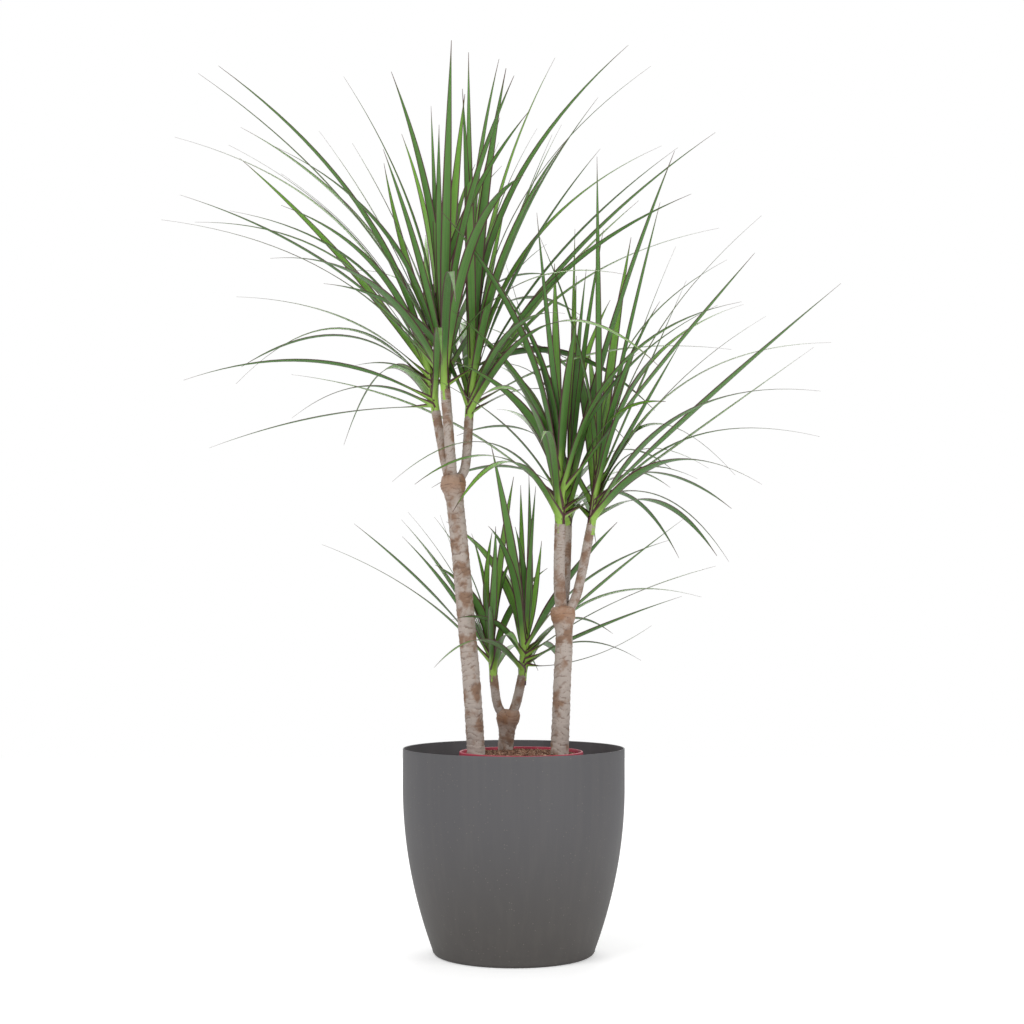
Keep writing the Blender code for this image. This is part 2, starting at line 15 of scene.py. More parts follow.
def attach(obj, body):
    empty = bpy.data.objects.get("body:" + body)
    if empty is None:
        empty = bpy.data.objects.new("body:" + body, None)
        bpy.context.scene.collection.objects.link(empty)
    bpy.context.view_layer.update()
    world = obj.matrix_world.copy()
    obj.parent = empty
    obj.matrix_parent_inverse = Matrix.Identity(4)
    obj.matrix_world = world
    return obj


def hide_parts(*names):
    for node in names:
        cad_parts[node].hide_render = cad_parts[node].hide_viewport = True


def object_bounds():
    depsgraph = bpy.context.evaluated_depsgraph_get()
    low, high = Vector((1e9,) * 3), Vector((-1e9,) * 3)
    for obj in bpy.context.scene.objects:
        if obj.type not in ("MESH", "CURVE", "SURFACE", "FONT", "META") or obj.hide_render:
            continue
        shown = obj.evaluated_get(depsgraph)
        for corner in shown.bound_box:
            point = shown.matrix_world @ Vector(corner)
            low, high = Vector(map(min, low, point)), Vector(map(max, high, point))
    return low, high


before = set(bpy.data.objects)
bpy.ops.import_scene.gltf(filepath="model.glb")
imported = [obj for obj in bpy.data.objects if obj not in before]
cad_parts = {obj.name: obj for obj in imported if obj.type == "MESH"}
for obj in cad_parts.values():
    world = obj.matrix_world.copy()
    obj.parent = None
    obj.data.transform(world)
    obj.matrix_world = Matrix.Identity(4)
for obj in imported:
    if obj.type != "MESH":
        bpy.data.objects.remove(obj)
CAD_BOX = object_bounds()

LOG = logging.getLogger("dracaena")
CM = 0.01
MM = 0.001
GAP = 0.3 * MM
UP = Vector((0, 0, 1))
BODY = "root"

# Cover pot
POT_HEIGHT = 0.275
POT_RIM_RADIUS = 0.150
POT_STRAIGHT = 0.050  # depth below the rim where the wall starts to curve in
POT_BELLY_RADIUS = 0.590  # radius of the curve that the wall follows down to the base
POT_WALL = 3.0 * MM
POT_LIP = 2.0 * MM
POT_FLOOR = 4.0 * MM
POT_BASE_ROUND = 7.0 * MM

# Grow pot, standing on the cover pot's floor
GROW_CENTRE = (0.010, 0.000)
GROW_RIM_Z = 0.2705
GROW_RIM_RADIUS = 0.084
GROW_BASE_RADIUS = 0.064
GROW_WALL = 1.5 * MM
GROW_LIP_HEIGHT = 8.0 * MM
GROW_LIP_STEP = 2.0 * MM

# Potting mix
SOIL_EDGE_Z = 0.2650
SOIL_MOUND = 5.0 * MM

# Canes and shoots
CANE_FOOT_Z = 0.175
FOOT_LEAN = 0.82  # how far out the buried foot stands, as a share of where the cane leaves the mix
SHOOT_SIDES = 10
TIP_TAPER = 0.35  # radius of the tip as a share of the shoot inside its leaves

# Each cane: its x and y out of the mix, at its bends and at its fork, and the heights there,
# its radius at the foot and at the fork, and its knob's radius
CANES = {
    "cane_tall": {
        "path": [(-0.050, -0.020), (-0.057, -0.022), (-0.0715, -0.024), (-0.082, -0.025)],
        "levels": [0.267, 0.366, 0.529, 0.632],
        "radii": (12.4 * MM, 11.6 * MM),
        "knob": 17.5 * MM,
    },
    "cane_middle": {
        "path": [(0.0610, -0.020), (0.0650, -0.018), (0.0680, -0.015), (0.0665, -0.012)],
        "levels": [0.267, 0.360, 0.420, 0.456],
        "radii": (12.6 * MM, 11.2 * MM),
        "knob": 17.0 * MM,
    },
    "cane_short": {
        "path": [(-0.0108, 0.045), (-0.0100, 0.045), (-0.0090, 0.045), (-0.0080, 0.045)],
        "levels": [0.267, 0.285, 0.300, 0.315],
        "radii": (11.0 * MM, 10.6 * MM),
        "knob": 16.5 * MM,
    },
}

# Each shoot: the points of its bare part, its tip among the leaves, and its radius at both ends
SHOOTS = {
    "tall_left": {
        "cane": "cane_tall",
        "bare": [(-0.086, -0.024, 0.634), (-0.094, -0.018, 0.665), (-0.106, -0.014, 0.731)],
        "leafy": (-0.118, -0.012, 0.808),
        "radii": (6.6 * MM, 6.2 * MM),
    },
    "tall_middle": {
        "cane": "cane_tall",
        "bare": [(-0.083, -0.027, 0.636), (-0.087, -0.036, 0.690), (-0.092, -0.040, 0.756)],
        "leafy": (-0.098, -0.040, 0.845),
        "radii": (7.2 * MM, 6.8 * MM),
    },
    "tall_right": {
        "cane": "cane_tall",
        "bare": [(-0.079, -0.024, 0.634), (-0.066, -0.018, 0.655), (-0.061, -0.014, 0.722)],
        "leafy": (-0.056, -0.012, 0.805),
        "radii": (6.6 * MM, 6.2 * MM),
    },
    "middle_left": {
        "cane": "cane_middle",
        "bare": [(0.0650, -0.014, 0.458), (0.0615, -0.020, 0.500), (0.0625, -0.024, 0.578)],
        "leafy": (0.0620, -0.026, 0.660),
        "radii": (8.2 * MM, 7.4 * MM),
    },
    "middle_back": {
        "cane": "cane_middle",
        "bare": [(0.0670, -0.008, 0.458), (0.0710, 0.004, 0.500), (0.0740, 0.014, 0.576)],
        "leafy": (0.0770, 0.021, 0.652),
        "radii": (6.2 * MM, 6.0 * MM),
    },
    "middle_right": {
        "cane": "cane_middle",
        "bare": [(0.0700, -0.012, 0.456), (0.0860, -0.012, 0.485), (0.1050, -0.014, 0.576)],
        "leafy": (0.1150, -0.016, 0.655),
        "radii": (6.8 * MM, 6.2 * MM),
    },
    "short_left": {
        "cane": "cane_short",
        "bare": [(-0.014, 0.044, 0.316), (-0.023, 0.040, 0.333), (-0.028, 0.040, 0.371)],
        "leafy": (-0.031, 0.040, 0.428),
        "radii": (6.4 * MM, 6.0 * MM),
    },
    "short_right": {
        "cane": "cane_short",
        "bare": [(-0.003, 0.045, 0.316), (0.004, 0.047, 0.335), (0.012, 0.050, 0.371)],
        "leafy": (0.016, 0.052, 0.435),
        "radii": (6.8 * MM, 6.4 * MM),
    },
}

# Leaves of the outline: x and height of the tip and bow in centimetres, width in millimetres
OUTLINE = {
    "tall_left": [
        (-48, 113, 6.5, 12), (-38, 116, 5, 11), (-40, 112, 1.5, 11), (-38, 108, 4.5, 8),
        (-34, 103, 3, 9), (-46, 102, 6.5, 9), (-37, 98, 5.5, 9), (-53, 97, 5.5, 10),
        (-38, 89, 3, 9), (-50, 76, 9, 10), (-49, 79, 4.5, 10), (-49, 74, 9, 9),
        (-38, 77, 8, 10), (-38, 80, 5.5, 14), (-43, 76, 4, 9), (-43, 69, 1.5, 10),
        (-30, 72, 3.5, 13), (-22, 79, 1.5, 10),
    ],
    "tall_middle": [
        (-40, 114, 4, 12), (-39, 115, 4.5, 15), (-45, 102, 3.5, 10), (-46, 97, 5, 10),
        (-23, 113, 1.5, 11), (-22, 115, 3.5, 10), (-17, 111, 1, 14), (-18, 108, -1, 11),
        (-17, 106, 1, 10), (-16, 114, 2.5, 9), (-11, 113, 0, 8), (-10, 111, -1.5, 11),
        (-7, 120, 1, 15), (-8, 119, 1.5, 14), (2, 109, 1, 10), (-2, 110, 1, 11),
    ],
    "tall_right": [
        (-6, 120, -2.5, 13), (-2, 121, 2.5, 11), (-2, 117, 4.5, 10), (-1, 116, 3.5, 15),
        (6, 126, 3.5, 11), (12, 124, 6, 10), (15, 120, 7, 10), (7, 117, 2, 8),
        (11, 113, 3.5, 14), (12, 110, 2, 10), (21, 112, 6, 9), (5, 108, 1.5, 10),
        (-1, 105, 0.5, 11), (27, 110, 3, 10), (22, 108, 3, 9), (18, 105, 1.5, 15),
        (23, 100, 4.5, 10), (29, 100, 5, 8), (30, 82, 3.5, 11),
    ],
    "middle_left": [
        (-10, 97, 4.5, 15), (-12, 87, 8.5, 10), (-13, 77, 10, 9), (-11, 77, 2, 14),
        (-32, 80, 3.5, 9), (-16, 63, 7, 10), (1, 95, 0.5, 12), (4, 93, 0, 15),
        (31, 92, 0.5, 15), (33, 53, 6.5, 14),
    ],
    "middle_back": [
        (3, 98, -0.5, 9), (9, 94, 1, 12), (10, 93, 0.5, 12), (12, 97, 1, 8),
        (9, 102, 0, 9), (21, 106, 1.5, 14),
    ],
    "middle_right": [
        (11, 106, 0.5, 9), (17, 100, 1, 14), (19, 99, 0.5, 9), (24, 97, 5.5, 9),
        (23, 97, 1, 9), (32, 97, 4.5, 10), (33, 90, 5.5, 10), (23, 90, 0, 12),
        (23, 83, 0, 9), (36, 88, 2.5, 11), (42, 88, 0.5, 14), (45, 84, 6.5, 10),
        (41, 82, 0, 10), (39, 72, 6, 8), (31, 65, 9.5, 10), (26, 65, 5.5, 9), (25, 64, 4, 9),
    ],
    "short_left": [
        (-26, 55, 2, 11), (-22, 58, 1, 10), (-16, 59, 1, 14), (-15, 56, 1, 10),
        (-15, 60, 1.5, 9), (-11, 59, 1.5, 9), (-10, 59, 0, 9), (-6, 57, 1.5, 8),
        (-3, 57, -0.5, 11), (-3, 57, 2, 10), (0, 65, 0.5, 14), (-4, 50, 0, 10),
    ],
    "short_right": [
        (-3, 68, 1, 14), (1, 64, 0, 10), (2, 65, -1, 11), (3, 63, 0.5, 10), (4, 56, -0.5, 10),
        (14, 58, 1, 14), (24, 59, 0.5, 10), (22, 56, 2.5, 14), (27, 52, 1.5, 10),
        (27, 48, 5, 9), (23, 48, 0.5, 10), (19, 44, -1.5, 9), (18, 39, 3, 9),
    ],
}

# Leaves that fill each shoot: how many, then the shortest and the longest in centimetres
FILL = {
    "tall_left": (9, 28, 44),
    "tall_middle": (12, 30, 44),
    "tall_right": (11, 28, 44),
    "middle_left": (14, 28, 42),
    "middle_back": (9, 26, 38),
    "middle_right": (10, 26, 42),
    "short_left": (7, 16, 26),
    "short_right": (8, 16, 28),
}

# Layout of the leaves
SEED = 11
DEPTH_SHARE = 0.34  # how far forward or back an outline leaf may lean, as a share of its reach
FILL_SPREAD = 0.9  # how far a filling leaf turns from straight sideways, in radians
LOWEST_LIFT = -8  # degrees, and so are the next two
LIFT_RANGE = 84
LIFT_JITTER = 4
BOW_LIFT = 0.6  # how much a leaf's bow raises the angle at its base
TURN_COST = 2.2  # rows that a leaf gives up to face one radian nearer its heading
BEND_AT = 0.45  # where the bow's control point stands along a leaf
WIDEST_AT = 0.35  # where a leaf is broadest
BASE_WIDTH = 0.62  # width of a leaf's base as a share of its broadest
POINT_POWER = 1.7
LEAST_WIDTH = 0.05
GOLDEN_ANGLE = math.pi * (3 - math.sqrt(5))
WHORLS = ("lower", "middle", "upper")
ROWS_PER_WHORL = 3
COLUMNS = 8
SLEEVE_WALL = 1.7 * MM
SLEEVE_START = 3 * MM  # from the end of the bare part to the lowest leaf base
SLEEVE_SPARE = 4 * MM  # what the leaf bases leave free of the leafy part
SLEEVE_SWELL = 1.05
SLEEVE_TAPER = 0.18
CORE_TAPER = 0.2
LEAF_STEPS = 5
LEAF_THICKNESS = 0.9 * MM  # of the plain strips used for overlap tests
LEAF_CLEARANCE = 1.2 * MM
NUDGES = [(swing, lift) for swing in range(-24, 25, 3) for lift in range(-9, 10, 3)]
NUDGES.sort(key=lambda nudge: (abs(nudge[0]) + 2 * abs(nudge[1]), nudge))
ROOT_SHRINK = 0.8  # leaf roots that sit side by side share an edge, so the overlap test starts inside it


def tube(points: list[Vector], radii: list[float], sides: int) -> bmesh.types.BMesh:
    """Make a closed round bar.

    Args:
        points: Its centre line.
        radii: Its radius at each point.
        sides: How many sides its rings have.

    Returns:
        The bar's mesh, for the caller to free.
    """
    bm = bmesh.new()
    rings = []
    for i, point in enumerate(points):
        before = points[max(i - 1, 0)]
        after = points[min(i + 1, len(points) - 1)]
        along = (after - before).normalized()
        across = along.cross(Vector((0, 1, 0))).normalized()
        other = along.cross(across)
        turns = [2 * math.pi * k / sides for k in range(sides)]
        rings.append([
            bm.verts.new(point + radii[i] * (math.cos(a) * across + math.sin(a) * other))
            for a in turns
        ])
    for low, high in zip(rings, rings[1:]):
        for k in range(sides):
            m = (k + 1) % sides
            bm.faces.new((low[k], low[m], high[m], high[k]))
    bm.faces.new(rings[0])
    bm.faces.new(rings[-1])
    return bm


def outer_radius(z: float) -> float:
    """Radius of the cover pot's outside at a height.

    Args:
        z: Height above the ground.

    Returns:
        The radius there: upright at the top, then curving in.
    """
    below = max(POT_HEIGHT - z - POT_STRAIGHT, 0)
    return POT_RIM_RADIUS - below**2 / (2 * POT_BELLY_RADIUS)


def grow_radius(z: float) -> float:
    """Radius of the grow pot's outside below its lip.

    Args:
        z: Height above the ground.

    Returns:
        The radius there, on a straight taper.
    """
    base = POT_FLOOR + GAP
    share = (z - base) / (GROW_RIM_Z - base)
    return GROW_BASE_RADIUS + (GROW_RIM_RADIUS - GROW_LIP_STEP - GROW_BASE_RADIUS) * share


def cane_line(cane: dict) -> tuple[list[Vector], list[float]]:
    """Centre line of one cane, from its foot in the mix up to its fork.

    Args:
        cane: The cane's entry in CANES.

    Returns:
        Its points and the radius at each.
    """
    x, y = cane["path"][0]
    towards = [GROW_CENTRE[i] + (v - GROW_CENTRE[i]) * FOOT_LEAN for i, v in enumerate((x, y))]
    first = Vector((*towards, CANE_FOOT_Z))
    points = [first] + [Vector((*xy, z)) for xy, z in zip(cane["path"], cane["levels"])]
    low, high = cane["radii"]
    last = len(points) - 1
    return points, [low + (high - low) * i / last for i in range(len(points))]


def core_radius(shoot: dict) -> float:
    """Radius of the shoot inside its sleeve of leaf bases."""
    return shoot["radii"][1] - SLEEVE_WALL - GAP


def shoot_line(shoot: dict) -> tuple[list[Vector], list[float]]:
    """Centre line of a shoot: bare, then thinner inside its leaves, up to its tip.

    Args:
        shoot: The shoot's entry in SHOOTS.

    Returns:
        Its points and the radius at each.
    """
    bare = [Vector(p) for p in shoot["bare"]]
    top = Vector(shoot["leafy"])
    low, high = shoot["radii"]
    inner = core_radius(shoot)
    step = (top - bare[-1]) * 0.03
    points = [*bare, bare[-1] + step, top - step, top]
    return points, [low, (low + high) / 2, high, inner, inner * (1 - CORE_TAPER), inner * TIP_TAPER]


def leaf_plan(label: str) -> list[tuple[Vector, float, float]]:
    """Plan every leaf of one shoot, the outline leaves first.

    Args:
        label: The shoot's name.

    Returns:
        Each leaf's tip, bow and width.
    """
    shoot = SHOOTS[label]
    foot = Vector(shoot["bare"][-1])
    rng = random.Random(f"{SEED}{label}")
    leaves = []
    for k, (x, z, bow, width) in enumerate(OUTLINE[label]):
        reach = Vector((x * CM - foot.x, 0, z * CM - foot.z)).length
        depth = foot.y + DEPTH_SHARE * reach * math.sin(k * GOLDEN_ANGLE + len(label))
        leaves.append((Vector((x * CM, depth, z * CM)), bow * CM, width * MM))
    count, shortest, longest = FILL[label]
    for k in range(count):
        side = -1 if k % 2 else 1
        turn = side * math.pi / 2 + rng.uniform(-FILL_SPREAD, FILL_SPREAD)
        jitter = rng.uniform(-LIFT_JITTER, LIFT_JITTER)
        lift = math.radians(LOWEST_LIFT + LIFT_RANGE * (k + 0.5) / count + jitter)
        length = CM * rng.uniform(shortest, longest)
        flat = length * math.cos(lift)
        rise = Vector((flat * math.cos(turn), flat * math.sin(turn), length * math.sin(lift)))
        bow = length * (0.04 + 0.14 * math.cos(lift)) * rng.uniform(0.7, 1.2)
        leaves.append((foot + rise, bow, MM * rng.uniform(10, 15)))
    return leaves


def uprightness(foot: Vector, leaf: tuple[Vector, float, float]) -> float:
    """Angle at which a leaf leaves the stem.

    Args:
        foot: Where the shoot's leaves begin.
        leaf: Its tip, bow and width.

    Returns:
        The angle above the level, in radians.
    """
    tip, bow, _ = leaf
    chord = tip - foot
    return math.atan2(chord.z, math.hypot(chord.x, chord.y)) + BOW_LIFT * bow / chord.length


def slot_cost(slot: tuple[int, int], wanted: float, heading: float) -> tuple:
    """Rate a place on the sleeve for a leaf.

    Args:
        slot: The place's row and column.
        wanted: The row that the leaf would have by its angle.
        heading: The direction in which the leaf points.

    Returns:
        A value that sorts the best place first.
    """
    turn = 2 * math.pi * (slot[1] + 0.5) / COLUMNS
    apart = abs(math.remainder(turn - heading, 2 * math.pi))
    return abs(slot[0] - wanted) + TURN_COST * apart, slot


def slots(label: str) -> list[tuple[tuple[int, int], tuple[Vector, float, float]]]:
    """Give each leaf of a shoot a place for its base on the sleeve.

    Args:
        label: The shoot's name.

    Returns:
        Each leaf after its row and column.
    """
    shoot = SHOOTS[label]
    foot = Vector(shoot["bare"][-1])
    plan = sorted(leaf_plan(label), key=lambda leaf: uprightness(foot, leaf))
    rows = ROWS_PER_WHORL * len(WHORLS)
    free = {(r, c) for r in range(rows) for c in range(COLUMNS)}
    placed = []
    for k, leaf in enumerate(plan):
        heading = math.atan2(leaf[0].y - foot.y, leaf[0].x - foot.x)
        wanted = rows * (k + 0.5) / len(plan) - 0.5
        best = min(free, key=lambda slot: slot_cost(slot, wanted, heading))
        free.discard(best)
        placed.append((best, leaf))
    return placed


def blade_width(share: float, width: float) -> float:
    """Width of a leaf along its length: a narrow base, broadest at a third, and a long point.

    Args:
        share: How far along the leaf, from 0 to 1.
        width: The leaf's greatest width.

    Returns:
        The width there.
    """
    if share < WIDEST_AT:
        return width * (BASE_WIDTH + 0.38 * math.sin(share / WIDEST_AT * math.pi / 2))
    return width * max(1 - ((share - WIDEST_AT) / 0.65) ** POINT_POWER, LEAST_WIDTH)


def blade_side(slot_side: Vector, heading_side: Vector, t: float) -> Vector:
    """Direction across the blade: square to the stem at the root, then to the blade's heading.

    Args:
        slot_side: Across the base.
        heading_side: Across the free blade.
        t: How far along the leaf, from 0 to 1.

    Returns:
        The direction at t.
    """
    if slot_side.dot(heading_side) < 0.2:
        return slot_side
    return slot_side.lerp(heading_side, min(2 * t, 1)).normalized()


@dataclass
class Blade:
    """One leaf's centre curve and the directions along it.

    Attributes:
        corners: The four corners of its root on the sleeve.
        tip: Its tip before any nudge.
        bow: How far it bows up off the straight line.
        width: Its greatest width.
        nudge: Swing round the upright and lift, in degrees.
    """

    corners: list[Vector]
    tip: Vector
    bow: float
    width: float
    nudge: tuple[int, int] = (0, 0)

    def frame_at(self, t: float) -> tuple[Vector, Vector, Vector, Vector]:
        """Find the blade's own axes at one place.

        Args:
            t: How far along the leaf, from 0 to 1.

        Returns:
            The point, and the directions along, across and out of the upper face.
        """
        base = sum(self.corners, Vector()) / 4
        slot_side = (self.corners[1] - self.corners[0]).normalized()
        chord = self.tip - base
        chord.rotate(Matrix.Rotation(math.radians(self.nudge[0]), 3, "Z"))
        flat = Vector((chord.x, chord.y, 0))
        flat = flat.normalized() if flat.length > 1 * MM else Vector((1, 0, 0))
        side = UP.cross(flat)
        chord.rotate(Matrix.Rotation(math.radians(-self.nudge[1]), 3, side))
        raised = chord.cross(side).normalized()
        if raised.dot(UP) < 0:
            raised.negate()
        middle = base + chord * BEND_AT + raised * self.bow * 2
        point = base * (1 - t) ** 2 + middle * 2 * t * (1 - t) + (base + chord) * t**2
        along = ((middle - base) * (1 - t) + (base + chord - middle) * t).normalized()
        across = blade_side(slot_side, side, t)
        across = (across - along * across.dot(along)).normalized()
        return point, along, across, along.cross(across)

    def sections(self, thickness: float, extra: float = 0.0) -> list[list[Vector]]:
        """Find the corner points of the plain strip that the CAD model has.

        Args:
            thickness: The strip's thickness.
            extra: What is added to its width.

        Returns:
            Four corners at each step.
        """
        found = []
        for k in range(1, LEAF_STEPS + 1):
            t = k / LEAF_STEPS
            point, _, across, normal = self.frame_at(t)
            half = across * blade_width(t, self.width + extra) / 2
            thick = normal * thickness / 2 * (1 if k < LEAF_STEPS else 0.5)
            low, high = point - thick, point + thick
            found.append([low - half, low + half, high + half, high - half])
        return found


def ribbon(corners: list[Vector], sections: list[list[Vector]]) -> BVHTree:
    """Make a search tree of one leaf's faces, for overlap tests.

    Args:
        corners: The leaf's root.
        sections: Its corner points at each step.

    Returns:
        The tree.
    """
    points = [p for ring in [corners, *sections] for p in ring]
    faces = []
    for k in range(len(sections)):
        for i in range(4):
            j = (i + 1) % 4
            faces.append((4 * k + i, 4 * k + j, 4 * k + 4 + j, 4 * k + 4 + i))
    return BVHTree.FromPolygons(points, faces)


def sleeve_grid(label: str, whorl: int) -> list[tuple[list[Vector], list[Vector]]]:
    """Find the points of one whorl's sleeve.

    Args:
        label: The shoot's name.
        whorl: Which whorl, from the bottom.

    Returns:
        Rings of inner and outer points from bottom to top.
    """
    shoot = SHOOTS[label]
    low = Vector(shoot["bare"][-1])
    high = Vector(shoot["leafy"])
    along = (high - low).normalized()
    across = along.cross(Vector((0, 1, 0))).normalized()
    other = across.cross(along)
    rows = ROWS_PER_WHORL * len(WHORLS)
    usable = (high - low).length - SLEEVE_SPARE
    rings = []
    for r in range(ROWS_PER_WHORL + 1):
        share = (whorl * ROWS_PER_WHORL + r) / rows
        height = SLEEVE_START + usable * share
        if r == ROWS_PER_WHORL:
            height -= GAP
        centre = low + along * height
        outer = shoot["radii"][1] * (SLEEVE_SWELL - SLEEVE_TAPER * share)
        inner = (core_radius(shoot) * (1 - CORE_TAPER * share) + GAP) / math.cos(math.pi / COLUMNS)
        turns = [2 * math.pi * c / COLUMNS for c in range(COLUMNS)]
        heading = [-across * math.cos(a) + other * math.sin(a) for a in turns]
        rings.append(([centre + d * inner for d in heading], [centre + d * outer for d in heading]))
    return rings


def outer_corners(rings: list, row: int, column: int) -> list[Vector]:
    """Find the four corners of one face of a sleeve.

    Args:
        rings: The sleeve's rings.
        row: The face's row.
        column: The face's column.

    Returns:
        The corners in the order of a leaf's sections.
    """
    after = (column + 1) % COLUMNS
    low = rings[row][1]
    high = rings[row + 1][1]
    return [low[column], low[after], high[after], high[column]]


def bar_tree(points: list[Vector], radii: list[float]) -> BVHTree:
    """Make a search tree of a round bar's faces.

    Args:
        points: The bar's centre line.
        radii: The radius at each point.

    Returns:
        The tree.
    """
    bm = tube(points, [r + LEAF_CLEARANCE for r in radii], SHOOT_SIDES)
    tree = BVHTree.FromBMesh(bm)
    bm.free()
    return tree


def stem_trees() -> list[BVHTree]:
    """Make search trees of the canes, their forks and every shoot.

    Returns:
        The trees.
    """
    trees = []
    for cane in CANES.values():
        points, radii = cane_line(cane)
        trees.append(bar_tree(points, radii))
        top = points[-1]
        lift = Vector((0, 0, cane["knob"]))
        knob_radii = [cane["knob"] / 2, cane["knob"], cane["knob"] / 2]
        trees.append(bar_tree([top - lift, top, top + lift], knob_radii))
    for shoot in SHOOTS.values():
        points, radii = shoot_line(shoot)
        trees.append(bar_tree(points[:3], radii[:3]))
        trees.append(bar_tree(points[3:], radii[3:]))
    return trees


def sleeve_trees() -> dict[tuple[str, int], BVHTree]:
    """Make a search tree for every whorl's sleeve.

    Returns:
        The trees by shoot and whorl.
    """
    trees = {}
    for label in SHOOTS:
        for whorl in range(len(WHORLS)):
            rings = sleeve_grid(label, whorl)
            ends = [sum(ring[1], Vector()) / COLUMNS for ring in (rings[0], rings[-1])]
            radii = [(ring[1][0] - end).length for ring, end in zip((rings[0], rings[-1]), ends)]
            trees[label, whorl] = bar_tree(ends, [r - LEAF_CLEARANCE / 2 for r in radii])
    return trees


def inside_model(point: Vector) -> bool:
    """Tell whether a point lies inside the CAD model's box."""
    low, high = CAD_BOX
    return all(low[i] < point[i] < high[i] for i in range(3))


def place_leaves() -> dict[tuple[str, int], list[Blade]]:
    """Lay out every leaf, swung a little where it would touch another.

    A leaf that finds no clear place keeps its planned one, so it may cross its neighbours, unless its tip
    lies outside the CAD model's box; then it is left out.

    Returns:
        The blades of each shoot's whorls.
    """
    stems = stem_trees()
    sleeves = sleeve_trees()
    settled = []
    layout = {}
    for label in SHOOTS:
        grids = [sleeve_grid(label, w) for w in range(len(WHORLS))]
        for (row, column), (tip, bow, width) in slots(label):
            whorl, step = divmod(row, ROWS_PER_WHORL)
            home = (label, whorl)
            corners = outer_corners(grids[whorl], step, column)
            base = sum(corners, Vector()) / 4
            fixed = stems + [tree for key, tree in sleeves.items() if key != home]
            fixed += [full for key, _, full in settled if key != home]
            mates = [slim for key, slim, _ in settled if key == home]
            slim_root = [base.lerp(corner, ROOT_SHRINK) for corner in corners]
            full_root = [base.lerp(corner, 2 - ROOT_SHRINK) for corner in corners]
            for nudge in NUDGES:
                blade = Blade(corners, tip, bow, width, nudge)
                wide = blade.sections(LEAF_THICKNESS + LEAF_CLEARANCE, LEAF_CLEARANCE)
                slim, full = ribbon(slim_root, wide), ribbon(full_root, wide)
                clear = not any(full.overlap(other) for other in fixed)
                if clear and not any(slim.overlap(other) for other in mates):
                    settled.append((home, slim, full))
                    layout.setdefault(home, []).append(blade)
                    break
            else:
                # No clear place: shown where planned all the same, unless it leaves the CAD box.
                if inside_model(tip):
                    layout.setdefault(home, []).append(Blade(corners, tip, bow, width))
    return layout


class Slot(Enum):
    """Material slots of the record."""

    POT = "pot_plastic"
    GROW = "grow_pot_plastic"
    MIX = "potting_mix"
    BARK = "bark"
    LEAF = "leaf"


def new_group(name: str, inputs: list[tuple], outputs: list[tuple]) -> bpy.types.NodeTree:
    """Start a shader node group.

    Args:
        name: The group's name.
        inputs: Name, socket type and default of each input.
        outputs: Name and socket type of each output.

    Returns:
        The group, with its input and output nodes.
    """
    group = bpy.data.node_groups.new(name, "ShaderNodeTree")
    for label, kind, value in inputs:
        group.interface.new_socket(label, in_out="INPUT", socket_type=kind).default_value = value
    for label, kind in outputs:
        group.interface.new_socket(label, in_out="OUTPUT", socket_type=kind)
    group.nodes.new("NodeGroupInput")
    group.nodes.new("NodeGroupOutput")
    return group


@dataclass
class Wiring:
    """Short ways to add and link nodes in one tree."""

    tree: bpy.types.NodeTree

    def add(self, kind: str, links: dict | None = None, **settings: object) -> bpy.types.Node:
        """Add a node.

        Args:
            kind: The node's type, without the ShaderNode prefix.
            links: Input values, or output sockets to link, by input name or number.
            settings: The node's own properties.

        Returns:
            The node.
        """
        node = self.tree.nodes.new(f"ShaderNode{kind}")
        for key, value in settings.items():
            setattr(node, key, value)
        for key, value in (links or {}).items():
            if isinstance(value, bpy.types.NodeSocket):
                self.tree.links.new(value, node.inputs[key])
            else:
                node.inputs[key].default_value = value
        return node

    def maths(self, operation: str, first: object, second: object = 0.5) -> bpy.types.NodeSocket:
        """Add a Math node and return its output."""
        return self.add("Math", {0: first, 1: second}, operation=operation).outputs[0]

    def noise(self, where: bpy.types.NodeSocket, scale: float, detail: float = 4) -> bpy.types.NodeSocket:
        """Add a noise texture and return its value."""
        return self.add("TexNoise", {"Vector": where, "Scale": scale, "Detail": detail}).outputs["Fac"]

    def ramp(self, value: bpy.types.NodeSocket, low: float, high: float) -> bpy.types.NodeSocket:
        """Add a smooth step of value between low and high and return it."""
        node = self.add("MapRange", {0: value, 1: low, 2: high}, interpolation_type="SMOOTHSTEP")
        return node.outputs[0]

    def mix(self, share: object, first: object, second: object) -> bpy.types.NodeSocket:
        """Add a colour mix and return it.

        Args:
            share: How much of the second colour, as a value or a socket.
            first: First colour.
            second: Second colour.

        Returns:
            The mixed colour.
        """
        node = self.add("Mix", data_type="RGBA")
        for key, value in ((0, share), (6, first), (7, second)):
            if isinstance(value, bpy.types.NodeSocket):
                self.tree.links.new(value, node.inputs[key])
            else:
                node.inputs[key].default_value = value
        return node.outputs[2]


